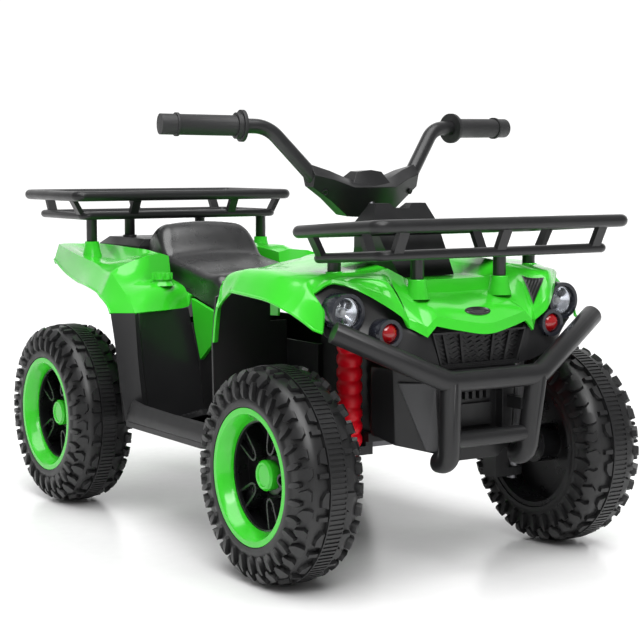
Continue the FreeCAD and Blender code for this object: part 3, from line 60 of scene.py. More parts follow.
BOSS_RADIUS = 12.0
BOSS_HEIGHT = 26.0
BOSS_FLARE = 5.0
BOSS_ROUND = 0.8
POST_OUTER_X = 166.0
POST_INNER_X = 69.6
FRONT_BOSSES = ((POST_OUTER_X, -383.6, 412.0), (POST_INNER_X, -437.0, 401.0))
REAR_BOSS = (POST_OUTER_X, 359.0, 421.0)
CAP_NECK = (150.0, 136.0, 369.0)
NECK_RADIUS = 15.0
NECK_HEIGHT = 9.0

# Points on the covers' outer faces, each row from the centre line outwards, with the creases between them
HOOD_ROWS = [
    [(0, -165, 421), (45, -165, 421), (72, -165, 418), (88, -165, 414), (106, -166, 407), (140, -170, 400),
     (182, -178, 393), (206, -184, 390), (226, -190, 386), (235, -195, 354)],
    [(0, -220, 422), (45, -220, 422), (70, -218, 424), (90, -214, 424), (106, -212, 420), (140, -210, 413),
     (182, -208, 406), (206, -210, 403), (229, -212, 399), (241, -216, 364)],
    [(0, -238, 398), (45, -238, 398), (66, -238, 399), (87, -248, 419), (104, -255, 423), (140, -255, 418),
     (182, -254, 412), (206, -253, 411), (227, -252, 408), (246, -248, 380)],
    [(0, -320, 398), (45, -320, 398), (66, -320, 399), (86, -320, 416), (102, -318, 422), (140, -312, 417),
     (183, -306, 413), (206, -305, 412), (226, -304, 408), (248, -300, 378)],
    [(0, -372, 398), (45, -372, 398), (65, -372, 399), (84, -372, 412), (100, -372, 420), (140, -366, 414),
     (184, -358, 411), (206, -356, 408), (223, -354, 402), (247, -350, 374)],
    [(0, -408, 397), (43, -408, 397), (64, -410, 398), (80, -418, 404), (102, -416, 415), (130, -422, 412),
     (183, -388, 409), (203, -380, 402), (215, -380, 394), (244, -374, 368)],
    [(0, -421, 380), (42, -421, 381), (66, -424, 381), (82, -432, 388), (109, -429, 403), (131, -441, 407),
     (184, -400, 406), (204, -386, 396), (214, -392, 388), (237, -394, 360)],
    [(0, -470, 362), (42, -466, 366), (70, -463, 367), (86, -464, 360), (108, -448, 376), (132, -461, 397),
     (186, -408, 405), (205, -390, 391), (213, -404, 380), (229, -409, 350)],
    [(0, -500, 344), (42, -494, 350), (73, -487, 356), (88, -485, 343), (105, -467, 354), (125, -475, 373),
     (188, -414, 404), (206, -393, 388), (212, -418, 371), (222, -420, 341)],
    [(0, -501, 330), (42, -495, 336), (75, -488, 343), (89, -487, 329), (106, -471, 341), (122, -477, 356),
     (189, -418, 400), (206, -396, 385), (212, -427, 366), (215, -431, 337)],
]
HOOD_ROW_BREAKS = (2, 5, 6, 8)
HOOD_COLUMN_BREAKS = (2, 3, 4, 7)
HOOD_STEPS = 6
TANK_ROWS = [
    [(0, 42, 384), (40, 42, 383), (68, 42, 377), (90, 42, 362), (102, 41, 345), (106, 40, 326)],
    [(0, -60, 405), (42, -60, 404), (72, -60, 398), (98, -60, 382), (114, -60, 356), (118, -60, 330)],
    [(0, -176, 421), (45, -176, 421), (76, -176, 418), (104, -176, 404), (120, -176, 375), (126, -176, 335)],
]
TANK_STEPS = 8
LEG_ROWS = [
    [(219, -186, 389), (235, -195, 354)],
    [(225, -184, 345), (235, -189, 336)],
    [(226, -178, 303), (235, -183, 303)],
]
LEG_STEPS = 6
REAR_ROWS = [
    [(0, 130, 342.5), (103, 130, 342.5), (105, 130, 325), (121, 124, 323), (160, 99, 324), (205, 79, 325),
     (231, 70, 325), (245, 127, 321)],
    [(0, 141, 345.3), (103, 141, 345.3), (105, 141, 352), (121, 136, 356), (160, 120, 359), (190, 113, 356),
     (223, 106, 343), (243, 140, 331)],
    [(0, 190, 357.5), (103, 190, 357.5), (105, 190, 366), (121, 184, 368), (158, 168, 367), (184, 152, 366),
     (219, 146, 362), (240, 160, 338)],
    [(0, 198, 359.5), (103, 198, 359.5), (105, 198, 402), (123, 193, 407), (152, 180, 405), (196, 182, 391),
     (216, 184, 380), (237, 180, 343)],
    [(0, 225, 366.3), (103, 225, 366.3), (105, 225, 405), (132, 225, 412), (150, 225, 401), (195, 220, 391),
     (211, 216, 381), (230, 207, 348)],
    [(0, 290, 382.5), (103, 290, 382.5), (105, 290, 409), (128, 290, 412), (148, 288, 393), (190, 270, 391),
     (203, 262, 389), (219, 270, 354)],
    [(0, 362, 399.6), (103, 362, 399.6), (105, 362, 411), (120, 362, 413), (138, 360, 393), (180, 350, 398),
     (193, 345, 397), (204, 337, 356)],
    [(0, 430, 399.7), (100, 430, 399.7), (104, 430, 411), (116, 430, 413), (132, 430, 395), (168, 425, 405),
     (181, 425, 405), (189, 420, 367)],
    [(0, 478, 399.7), (96, 478, 399.7), (102, 479, 411), (112, 481, 412), (128, 483, 411), (154, 486, 412),
     (168, 490, 411), (176, 492, 384)],
    [(0, 512, 378), (92, 511, 378), (100, 510, 379), (112, 509, 380), (128, 508, 380), (150, 506, 380),
     (162, 504, 380), (170, 500, 377)],
]
REAR_ROW_BREAKS = (2, 3, 8)
REAR_COLUMN_BREAKS = (1, 2, 3, 4, 6)
REAR_STEPS = 6


# Materials: how fine the noise in colour, gloss and bump is, per metre, and the bump's depth in metres

TINT_SCALE = 14.0
GLOSS_SCALE = 45.0
SMOOTH_SCALE = 60.0
SMOOTH_GRAIN = 0.02
BUMP_DEPTH = 0.0004
COAT_ROUGH = 0.06
NOISE_SPAN = (0.3, 0.7)


def mixed(tree, low, high, factor):
    """A colour that wanders between two others."""
    mix = tree.nodes.new("ShaderNodeMix")
    mix.data_type = "RGBA"
    mix.inputs[6].default_value = (*low, 1.0)
    mix.inputs[7].default_value = (*high, 1.0)
    tree.links.new(factor, mix.inputs[0])
    return mix.outputs[2]


def noise(tree, coord, scale, detail=3.0):
    """A value that wanders over the surface."""
    texture = tree.nodes.new("ShaderNodeTexNoise")
    texture.inputs["Scale"].default_value = scale
    texture.inputs["Detail"].default_value = detail
    tree.links.new(coord, texture.inputs["Vector"])
    return texture.outputs["Fac"]


def ranged(tree, value, low, high):
    """A noise value spread over the range from low to high."""
    span = tree.nodes.new("ShaderNodeMapRange")
    span.inputs["From Min"].default_value = NOISE_SPAN[0]
    span.inputs["From Max"].default_value = NOISE_SPAN[1]
    span.inputs["To Min"].default_value = low
    span.inputs["To Max"].default_value = high
    tree.links.new(value, span.inputs["Value"])
    return span.outputs["Result"]


def finish(name, colour, rough, spread=0.06, vary=0.08, grain=0.0, grain_scale=2500.0, coat=0.0, **sockets):
    """A moulded or painted finish: colour, gloss and grain all wander a little over the surface."""
    material = bpy.data.materials.new(name)
    material.use_nodes = True
    tree = material.node_tree
    shader = tree.nodes["Principled BSDF"]
    coord = tree.nodes.new("ShaderNodeTexCoord").outputs["Object"]
    low = [max(c * (1 - vary), 0.0) for c in colour]
    high = [min(c * (1 + vary), 1.0) for c in colour]
    tint = mixed(tree, low, high, noise(tree, coord, TINT_SCALE))
    tree.links.new(tint, shader.inputs["Base Color"])
    gloss = ranged(tree, noise(tree, coord, GLOSS_SCALE), max(rough - spread, 0.02), rough + spread)
    tree.links.new(gloss, shader.inputs["Roughness"])
    bump = tree.nodes.new("ShaderNodeBump")
    bump.inputs["Strength"].default_value = max(grain, SMOOTH_GRAIN)
    bump.inputs["Distance"].default_value = BUMP_DEPTH
    height = noise(tree, coord, grain_scale if grain else SMOOTH_SCALE, 2.0)
    tree.links.new(height, bump.inputs["Height"])
    tree.links.new(bump.outputs["Normal"], shader.inputs["Normal"])
    shader.inputs["Coat Weight"].default_value = coat
    shader.inputs["Coat Roughness"].default_value = COAT_ROUGH
    for socket, value in sockets.items():
        shader.inputs[socket.replace("_", " ")].default_value = value
    return material


MATERIALS = {
    "green_gloss": finish("green_gloss", (0.04, 0.6, 0.022), 0.22, spread=0.03, vary=0.05, coat=0.4,
                          Specular_IOR_Level=0.4),
    "black_satin": finish("black_satin", (0.014, 0.014, 0.0148), 0.34, grain=0.06, Specular_IOR_Level=0.36),
    "seat_black": finish("seat_black", (0.013, 0.013, 0.014), 0.3, grain=0.15, grain_scale=1500.0,
                         Specular_IOR_Level=0.75),
    "pad_grey": finish("pad_grey", (0.05, 0.05, 0.053), 0.42, grain=0.12),
    "tyre_black": finish("tyre_black", (0.009, 0.009, 0.0095), 0.4, vary=0.15, grain=0.1),
    "rim_black": finish("rim_black", (0.009, 0.009, 0.01), 0.3, grain=0.05),
    "shock_red": finish("shock_red", (0.7, 0.0015, 0.012), 0.38, Specular_IOR_Level=0.3),
    "lens_red": finish("lens_red", (0.5, 0.004, 0.008), 0.1, spread=0.03, coat=0.6, Transmission_Weight=0.35),
    "bezel_dark": finish("bezel_dark", (0.02, 0.022, 0.03), 0.25, coat=0.2),
    "bar_black": finish("bar_black", (0.013, 0.013, 0.014), 0.34, grain=0.06),
    "grip_black": finish("grip_black", (0.013, 0.013, 0.014), 0.55, grain=0.35, grain_scale=1200.0),
    "steel": finish("steel", (0.16, 0.16, 0.17), 0.4, grain=0.05, Metallic=1.0),
    "case_grey": finish("case_grey", (0.07, 0.075, 0.085), 0.5, grain=0.1),
    "switch_red": finish("switch_red", (0.45, 0.012, 0.012), 0.3),
    "lens_clear": finish("lens_clear", (0.93, 0.95, 0.98), 0.05, spread=0.02, vary=0.02,
                         Transmission_Weight=1.0),
}
REFLECTOR = finish("reflector", (0.82, 0.83, 0.86), 0.16, spread=0.05, vary=0.04, Metallic=1.0)
BULB = finish("bulb", (0.9, 0.9, 0.86), 0.2, vary=0.04, coat=0.3)
BADGE_BLACK = finish("badge_black", (0.012, 0.012, 0.013), 0.2, coat=0.4)


# Mesh helpers


class Sheaf:
    """Points and faces of one piece, gathered from several forms."""

    def __init__(self):
        self.points = []
        self.faces = []

    def add(self, points, faces):
        start = len(self.points)
        self.points += [tuple(p) for p in points]
        self.faces += [tuple(start + i for i in face) for face in faces]


def place(name, sheaf, body, slot, material=None, sharp=32.0, bevel=0.0):
    """Makes the piece, gives it its finish and lets it ride on its body."""
    mesh = bpy.data.meshes.new(name)
    mesh.from_pydata([[c * MM for c in p] for p in sheaf.points], [], sheaf.faces)
    mesh.update()
    mesh.polygons.foreach_set("use_smooth", [True] * len(mesh.polygons))
    mesh.set_sharp_from_angle(angle=math.radians(sharp))
    piece = bpy.data.objects.new(name, mesh)
    bpy.context.scene.collection.objects.link(piece)
    mesh.materials.append(material or MATERIALS[slot])
    if bevel:
        rounded(piece, bevel)
    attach(piece, body)
    return piece


def rounded(piece, width, angle=40.0):
    """Small rounds on the sharp edges, which catch the light."""
    bevel = piece.modifiers.new("rounds", "BEVEL")
    bevel.width = width * MM
    bevel.segments = 2
    bevel.limit_method = "ANGLE"
    bevel.angle_limit = math.radians(angle)
    bevel.harden_normals = True
    return bevel


def between(p0, p1, p2, p3, share):
    """A point of the curve from p1 to p2, with its bends spread by the distances between the points."""
    def knot(a, b):
        return np.maximum(np.linalg.norm(b - a, axis=-1, keepdims=True) ** 0.5, 1e-6)

    t1 = knot(p0, p1)
    t2 = t1 + knot(p1, p2)
    t3 = t2 + knot(p2, p3)
    t = t1 + (t2 - t1) * share
    a1 = p0 * (t1 - t) / t1 + p1 * t / t1
    a2 = p1 * (t2 - t) / (t2 - t1) + p2 * (t - t1) / (t2 - t1)
    a3 = p2 * (t3 - t) / (t3 - t2) + p3 * (t - t2) / (t3 - t2)
    b1 = a1 * (t2 - t) / t2 + a2 * t / t2
    b2 = a2 * (t3 - t) / (t3 - t1) + a3 * (t - t1) / (t3 - t1)
    return b1 * (t2 - t) / (t2 - t1) + b2 * (t - t1) / (t2 - t1)


def through(points, breaks, steps):
    """A smooth run through the points, with a corner at each break."""
    points = np.asarray(points, dtype=float)
    corners = sorted({0, len(points) - 1, *breaks})
    run = []
    for first, last in zip(corners, corners[1:]):
        part = points[first:last + 1]
        ends = [2 * part[0] - part[1], *part, 2 * part[-1] - part[-2]]
        for p0, p1, p2, p3 in zip(ends, ends[1:], ends[2:], ends[3:]):
            run += [between(p0, p1, p2, p3, k / steps) for k in range(steps)]
    return np.array(run + [points[-1]])


def smooth_grid(rows, row_breaks, column_breaks, steps):
    """A dense grid through the rows, corners kept at the breaks."""
    across = through(np.swapaxes(np.array(rows, dtype=float), 0, 1), column_breaks, steps)
    return through(np.swapaxes(across, 0, 1), row_breaks, steps)


def whole(rows, breaks):
    """Rows made whole by their mirror image, with the breaks counted along the whole row."""
    last = len(rows[0]) - 1
    full = [[(-x, y, z) for x, y, z in reversed(row[1:])] + list(row) for row in rows]
    return full, [last + k for k in breaks] + [last - k for k in breaks]


def mirrored(rows, sign):
    """The rows on one side of the quad: sign +1 left, -1 right."""
    return [[(sign * x, y, z) for x, y, z in row] for row in rows]


def grid_faces(rows, columns, turn=False, closed=False):
    """Faces between neighbouring points of a grid, row by row."""
    faces = []
    for i in range(rows - 1):
        for j in range(columns if closed else columns - 1):
            k = (j + 1) % columns
            face = (i * columns + j, i * columns + k, (i + 1) * columns + k, (i + 1) * columns + j)
            faces.append(face[::-1] if turn else face)
    return faces


def outward(grid, sign):
    """Unit normals of a grid, sign +1 where rows run so that across cross along faces out."""
    normal = np.cross(np.gradient(grid, axis=1), np.gradient(grid, axis=0)) * sign
    return normal / np.maximum(np.linalg.norm(normal, axis=-1, keepdims=True), 1e-9)


def add_sheet(sheaf, grid, thickness, sign):
    """A sheet moulding: the grid as its outer face, thickened inwards, with its rim closed."""
    rows, columns = grid.shape[:2]
    inner = grid - outward(grid, sign) * thickness
    count = rows * columns
    faces = grid_faces(rows, columns, sign < 0)
    faces += [tuple(i + count for i in face[::-1]) for face in grid_faces(rows, columns, sign < 0)]
    rim = [j for j in range(columns - 1)]
    rim += [i * columns + columns - 1 for i in range(rows - 1)]
    rim += [(rows - 1) * columns + j for j in range(columns - 1, 0, -1)]
    rim += [i * columns for i in range(rows - 1, 0, -1)]
    for a, b in zip(rim, rim[1:] + rim[:1]):
        face = (b, a, a + count, b + count)
        faces.append(face[::-1] if sign < 0 else face)
    sheaf.add(np.concatenate([grid.reshape(-1, 3), inner.reshape(-1, 3)]), faces)


def add_turned(sheaf, profile, centre, axis, segments=48):
    """A turned form: profile pairs of radius and distance along the axis from the centre."""
    axis = Vector(axis).normalized()
    side = axis.orthogonal().normalized()
    up = axis.cross(side)
    points = []
    for radius, along in profile:
        for k in range(segments):
            angle = 2 * math.pi * k / segments
            spoke = side * math.cos(angle) + up * math.sin(angle)
            points.append(Vector(centre) + axis * along + spoke * radius)
    sheaf.add(points, grid_faces(len(profile), segments, closed=True))


def add_rope(sheaf, path, radius, sides=8):
    """A round bead along a path, closed at both ends."""
    path = [Vector(p) for p in path]
    points = []
    for i, p in enumerate(path):
        ahead = path[min(i + 1, len(path) - 1)] - path[max(i - 1, 0)]
        ahead.normalize()
        side = ahead.orthogonal().normalized() if i == 0 else (side - ahead * side.dot(ahead)).normalized()
        up = ahead.cross(side)
        for k in range(sides):
            angle = 2 * math.pi * k / sides
            points.append(p + (side * math.cos(angle) + up * math.sin(angle)) * radius)
    last = len(path) - 1
    faces = grid_faces(len(path), sides, closed=True)
    faces += [tuple(range(sides))[::-1], tuple(last * sides + k for k in range(sides))]
    sheaf.add(points, faces)


def add_bar(sheaf, start, end, width, depth, front):
    """A flat bar between two points whose broad face looks along front."""
    start, end, front = Vector(start), Vector(end), Vector(front).normalized()
    side = (end - start).cross(front).normalized() * (width / 2)
    back = front * depth
    corners = []
    for p in (start, end):
        corners += [p - side, p + side, p + side - back, p - side - back]
    faces = [(0, 1, 2, 3), (7, 6, 5, 4), (0, 4, 5, 1), (1, 5, 6, 2), (2, 6, 7, 3), (3, 7, 4, 0)]
    sheaf.add(corners, faces)


def add_rings(sheaf, rings):
    """Closed outlines joined in turn, with both ends shut."""
    count = len(rings[0])
    last = count * (len(rings) - 1)
    first = [Vector(p) for p in rings[0]]
    normal = sum((a.cross(b) for a, b in zip(first, first[1:] + first[:1])), Vector())
    faces = grid_faces(len(rings), count, closed=True)
    faces += [tuple(reversed(range(count))), tuple(range(last, last + count))]
    ahead = normal.dot(Vector(rings[-1][0]) - first[0]) > 0
    sheaf.add([p for ring in rings for p in ring], faces if ahead else [face[::-1] for face in faces])


def add_slab(sheaf, outline, offset):
    """A flat outline pushed along an offset."""
    add_rings(sheaf, [outline, [tuple(a + b for a, b in zip(p, offset)) for p in outline]])


# Covers


def boss(sheaf, centre, height, radius):
    """A moulded boss that flares into the panel under it."""
    profile = [(radius + BOSS_FLARE, -height), (radius + 0.4 * BOSS_FLARE, -0.55 * height),
               (radius, -0.2 * height), (radius, -BOSS_ROUND), (radius - BOSS_ROUND, 0.0), (0.0, 0.0)]
    add_turned(sheaf, profile, centre, (0, 0, 1))


def hood_grid():
    """The outer face of the hood and both front fenders."""
    rows, breaks = whole(HOOD_ROWS, HOOD_COLUMN_BREAKS)
    return smooth_grid(rows, HOOD_ROW_BREAKS, breaks, HOOD_STEPS)


def front_shell():
    """Hood with fenders, tank hump, the legs behind the fenders, rack bosses and beaded edges."""
    shell = Sheaf()
    hood = hood_grid()
    add_sheet(shell, hood, SHELL, -1)
    rows, breaks = whole(TANK_ROWS, ())
    add_sheet(shell, smooth_grid(rows, (), breaks, TANK_STEPS), SHELL, -1)
    for sign in (-1, 1):
        add_sheet(shell, smooth_grid(mirrored(LEG_ROWS, sign), (), (), LEG_STEPS), SHELL, -sign)
        for x, y, top in FRONT_BOSSES:
            boss(shell, (sign * x, y, top), BOSS_HEIGHT, BOSS_RADIUS)
    for edge in (hood[:, 0], hood[:, -1]):
        add_rope(shell, edge, LIP_RADIUS)
    piece = place("front_shell", shell, "chassis", "green_gloss", bevel=SHELL_ROUND)
    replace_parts(piece, "front_cover")


def rear_shell():
    """Rear fenders and tail in one moulding, with rack bosses and the necks of the fuel caps."""
    shell = Sheaf()
    rows, breaks = whole(REAR_ROWS, REAR_COLUMN_BREAKS)
    grid = smooth_grid(rows, REAR_ROW_BREAKS, breaks, REAR_STEPS)
    add_sheet(shell, grid, SHELL, 1)
    for sign in (-1, 1):
        x, y, top = REAR_BOSS
        boss(shell, (sign * x, y, top), BOSS_HEIGHT, BOSS_RADIUS)
        x, y, top = CAP_NECK
        boss(shell, (sign * x, y, top), NECK_HEIGHT, NECK_RADIUS)
    for edge in (grid[:, 0], grid[:, -1]):
        add_rope(shell, edge, LIP_RADIUS)
    piece = place("rear_shell", shell, "chassis", "green_gloss", bevel=SHELL_ROUND)
    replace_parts(piece, "rear_cover")


# Black front panel, tucked under the hood's edge and open for the grille

FASCIA_SIDE = [
    [(84, -464, 350), (92, -462, 350), (112, -452, 364), (147, -432, 396), (184, -402, 400), (202, -392, 385),
     (206, -415, 360)],
    [(80, -477.5, 338), (90, -477, 332), (110, -464, 340), (147, -438, 369), (184, -406, 391),
     (202, -396, 378), (207, -419, 346)],
    [(73, -481.5, 313), (90, -479, 312), (114, -469, 319), (148, -448, 336), (184, -415, 357),
     (202, -408, 356), (207, -420, 342)],
    [(65.5, -484, 286), (92, -481, 289), (114, -477, 295), (150, -462, 308), (186, -436, 322),
     (202, -426, 330), (208, -425, 335)],
]
FASCIA_ROW_BREAKS = (1,)
FASCIA_TOP = [
    [(0, -478, 348), (42, -474, 352), (68, -466, 355), (84, -464, 350)],
    [(0, -489, 334.5), (42, -486, 334.5), (68, -481, 334.5), (80, -478, 334.5)],
]
FASCIA_STEPS = 5
FASCIA_WALL = 2.0
SILL_END = (66.0, -486.0, 287.0)
SILL_WIDTH = 3.5
SILL_DEPTH = 3.0


def fascia():
    """A panel behind the lights on each side, one over the grille and a sill under it."""
    piece = Sheaf()
    for sign in (-1, 1):
        rows = mirrored(FASCIA_SIDE, sign)
        add_sheet(piece, smooth_grid(rows, FASCIA_ROW_BREAKS, (), FASCIA_STEPS), FASCIA_WALL, -sign)
    rows, breaks = whole(FASCIA_TOP, ())
    add_sheet(piece, smooth_grid(rows, (), breaks, FASCIA_STEPS), FASCIA_WALL, -1)
    x, y, z = SILL_END
    add_bar(piece, (-x, y, z), (x, y, z), SILL_WIDTH, SILL_DEPTH, (0, -1, 0))
    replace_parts(place("fascia_panel", piece, "chassis", "black_satin", sharp=50.0), "front_fascia")


# Side bodies: footboard with its rail, splash wall and the creased fairing before the rear wheel

FOOT_INNER = 108.0
FOOT_OUTER = 245.0
FOOT_FRONT = -172.0
FOOT_LOW = 150.0
FOOT_THICK = 8.0
FOOT_PLAN = ((FOOT_INNER, FOOT_FRONT), (239.0, FOOT_FRONT), (FOOT_OUTER, -160.0), (FOOT_OUTER, 77.0),
             (205.0, 100.0), (FOOT_INNER, 100.0))
# The rail's section by share of its height, and its top along the footboard
RAIL_SECTION = ((231.0, 0.0), (231.0, 0.7), (232.5, 0.92), (236.0, 1.0), (240.0, 0.92), (243.5, 0.62),
                (FOOT_OUTER, 0.3), (242.0, 0.0))
RAIL_TOPS = ((FOOT_FRONT, 186.0), (-60.0, 186.0), (30.0, 188.0), (66.0, 192.0), (77.0, 178.0))
SPLASH_EDGE = ((FOOT_INNER, FOOT_LOW), (228.0, FOOT_LOW), (231.0, 300.0), (225.0, 366.0), (206.0, 372.0),
               (182.0, 378.0), (136.0, 384.0), (136.0, 328.0), (FOOT_INNER, 328.0))
SPLASH_THICK = 4.0
FAIRING_ROWS = [
    [(108.4, 74, 157), (206, 73, 157), (209, 70, 157), (217, 69, 157), (245, 79, 157), (242, 92, 157)],
    [(108.4, 93, 240), (215, 73.5, 240), (218, 70.5, 240), (226, 69.5, 240), (245, 102, 240),
     (241, 113, 240)],
    [(108.4, 126, 323), (221, 76, 324.5), (224, 73, 324.5), (231, 71, 324.5), (245, 127, 320.5),
     (240, 134, 320.5)],
]
FAIRING_CREASES = (1, 2, 3, 4)
FAIRING_STEPS = 8
FOOT_RIBS = 4
FOOT_RIB_FIRST = 4.0
FOOT_RIB_PITCH = 14.0
FOOT_RIB_SPAN = (122.0, 226.0)
FOOT_RIB_WIDTH = 5.0
FOOT_RIB_DEPTH = 2.0
FOOT_RIB_RISE = 1.2
SIDE_ROUND = 1.2


def side_bodies():
    """Each side in one moulding, ribbed where the foot rests."""
    for side, sign in (("left", 1), ("right", -1)):
        piece = Sheaf()
        add_slab(piece, [(sign * x, y, FOOT_LOW) for x, y in FOOT_PLAN], (0, 0, FOOT_THICK))
        add_rings(piece, [[(sign * x, y, FOOT_LOW + share * (top - FOOT_LOW)) for x, share in RAIL_SECTION]
                          for y, top in RAIL_TOPS])
        add_slab(piece, [(sign * x, FOOT_FRONT, z) for x, z in SPLASH_EDGE], (0, SPLASH_THICK, 0))
        rows = mirrored(FAIRING_ROWS, sign)
        add_sheet(piece, smooth_grid(rows, (), FAIRING_CREASES, FAIRING_STEPS), SHELL, sign)
        top = FOOT_LOW + FOOT_THICK + FOOT_RIB_RISE
        for k in range(FOOT_RIBS):
            y = FOOT_RIB_FIRST + FOOT_RIB_PITCH * k
            near, far = [(sign * x, y, top) for x in FOOT_RIB_SPAN]
            add_bar(piece, near, far, FOOT_RIB_WIDTH, FOOT_RIB_DEPTH, (0, 0, 1))
        shaped = place("side_panel_" + side, piece, "chassis", "black_satin", sharp=24.0, bevel=SIDE_ROUND)
        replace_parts(shaped, "side_body_" + side)


# Handlebar cover: outlines seen from the side, at distances from the middle

COVER_SECTIONS = (
    (0, ((-223, 475), (-242, 519), (-224, 530), (-196, 532), (-185, 508), (-191, 477))),
    (36, ((-222, 477), (-241, 519), (-223, 531), (-196, 533), (-185, 508), (-192, 479))),
    (64, ((-221, 500), (-231, 530), (-216, 543), (-196, 543), (-187, 522), (-193, 503))),
    (91, ((-216, 519), (-221, 537), (-209, 552), (-194, 548), (-189, 534), (-194, 521))),
)
COVER_ROUND = 3.0
POD_FOOT = [(-34, -233, 522), (0, -239, 521), (34, -233, 522), (34, -198, 530), (-34, -198, 530)]
POD_CROWN = [(-22, -224, 541), (0, -229, 544), (22, -224, 541), (20, -205, 542), (-20, -205, 542)]
SCREW_HOLE = (75.0, -223.5, 511.5)
SCREW_FACING = (0.45, -0.82, -0.355)
SCREW_PROFILE = ((4.2, -2.0), (4.2, 0.5), (3.0, 0.5), (2.6, -1.5), (0.0, -1.5))


def bar_cover():
    """The winged moulding over the handlebar's middle, with a peaked pod and a screw hole on each wing."""
    piece = Sheaf()
    halves = [(-x, ring) for x, ring in reversed(COVER_SECTIONS[1:])] + list(COVER_SECTIONS)
    add_rings(piece, [[(x, y, z) for y, z in ring] for x, ring in halves])
    corners = len(POD_FOOT)
    crown = tuple(range(corners, 2 * corners))
    piece.add(POD_FOOT + POD_CROWN, grid_faces(2, corners, closed=True) + [crown])
    for sign in (-1, 1):
        hole, facing = [(sign * x, y, z) for x, y, z in (SCREW_HOLE, SCREW_FACING)]
        add_turned(piece, SCREW_PROFILE, hole, facing, 20)
    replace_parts(place("bar_cover", piece, "steer", "black_satin", bevel=COVER_ROUND), "handlebar_cover")


# Rims: a dished barrel with five tapered paddles, each framed by a raised edge

RIM_PHASE = -18.5
RIM_SECTION = ((85.0, -46.0), (91.8, -46.0), (91.8, 26.0), (71.0, 26.0), (71.0, 20.0), (85.0, 19.0),
               (84.0, -3.0), (30.0, -3.0), (27.0, 0.0), (27.0, 9.0), (25.0, 10.0), (14.0, 10.0),
               (14.0, -40.0), (27.0, -40.0), (27.0, -8.0), (85.0, -8.0), (85.0, -46.0))
RIM_ROUND = 0.5
PADDLES = 5
# Half of a paddle's outline: distance from the axle and from the paddle's middle line
PADDLE_EDGE = ((78.0, 13.0), (60.0, 10.6), (42.0, 8.2), (36.0, 6.6), (32.4, 3.6), (31.2, 0.0))
PADDLE_BACK = -3.0
PADDLE_FLOOR = 13.0
PADDLE_CROWN = 21.5
PADDLE_RIM_WIDTH = 3.4
PADDLE_RIM_DEPTH = 10.0
BOLT_FROM_AXLE = 45.0
BOLT_PROFILE = ((4.6, 12.0), (4.6, 17.0), (3.2, 17.5), (2.4, 15.0), (0.0, 15.0))


def wheel_place(wheel):
    """A wheel's middle, and +1 or -1 for the way its outer face looks along X."""
    low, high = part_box("tyre_" + wheel)
    centre = (Vector(low) + Vector(high)) * (0.5 / MM)
    return centre, -1 if centre.x < 0 else 1


def add_paddle(piece, angle, centre, turn):
    """A paddle from the hub to the ring: a recessed floor, a raised rim round it and a bolt."""
    def spot(r, v, along):
        y = r * math.sin(angle) + v * math.cos(angle)
        z = r * math.cos(angle) - v * math.sin(angle)
        return (centre[0] + turn * along, centre[1] + y, centre[2] + z)

    line = [(r, -v) for r, v in PADDLE_EDGE] + [(r, v) for r, v in reversed(PADDLE_EDGE[:-1])]
    floor = [spot(r, v, along) for along in (PADDLE_BACK, PADDLE_FLOOR) for r, v in line]
    count = len(line)
    faces = grid_faces(2, count, turn < 0, closed=True)
    top = tuple(count + k for k in range(count))
    piece.add(floor, faces + [top if turn > 0 else top[::-1]])
    crown = [spot(r, v, PADDLE_CROWN) for r, v in line]
    for a, b in zip(crown, crown[1:]):
        add_bar(piece, a, b, PADDLE_RIM_WIDTH, PADDLE_RIM_DEPTH, (turn, 0, 0))
    add_turned(piece, BOLT_PROFILE, spot(BOLT_FROM_AXLE, 0.0, 0.0), (turn, 0, 0), 16)


def rims():
    """A rim in each wheel, its paddles on the outer face."""
    for wheel in WHEELS:
        centre, turn = wheel_place(wheel)
        piece = Sheaf()
        add_turned(piece, RIM_SECTION, centre, (turn, 0, 0), 96)
        for k in range(PADDLES):
            add_paddle(piece, math.radians(RIM_PHASE + 360 / PADDLES * k), centre, turn)
        shaped = place("spokes_" + wheel, piece, "wheel_" + wheel, "rim_black", bevel=RIM_ROUND)
        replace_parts(shaped, "rim_" + wheel)


# Vents: black mesh triangles on the wings' front slopes

# Corners by column and row of the hood's points
VENT_CORNERS = ((4.12, 6.2), (4.9, 6.95), (4.12, 7.8))
VENT_CELLS = 14
VENT_FRAME = 0.06
VENT_FRAME_LIFT = 1.4
VENT_LIFT = 0.7
VENT_RELIEF = 0.6


def patch_point(grid, u, v):
    """A point of a dense grid at column u and row v, which may lie between its points."""
    row = min(int(v), grid.shape[0] - 2)
    column = min(int(u), grid.shape[1] - 2)
    a = v - row
    b = u - column
    return ((grid[row, column] * (1 - b) + grid[row, column + 1] * b) * (1 - a)
            + (grid[row + 1, column] * (1 - b) + grid[row + 1, column + 1] * b) * a)


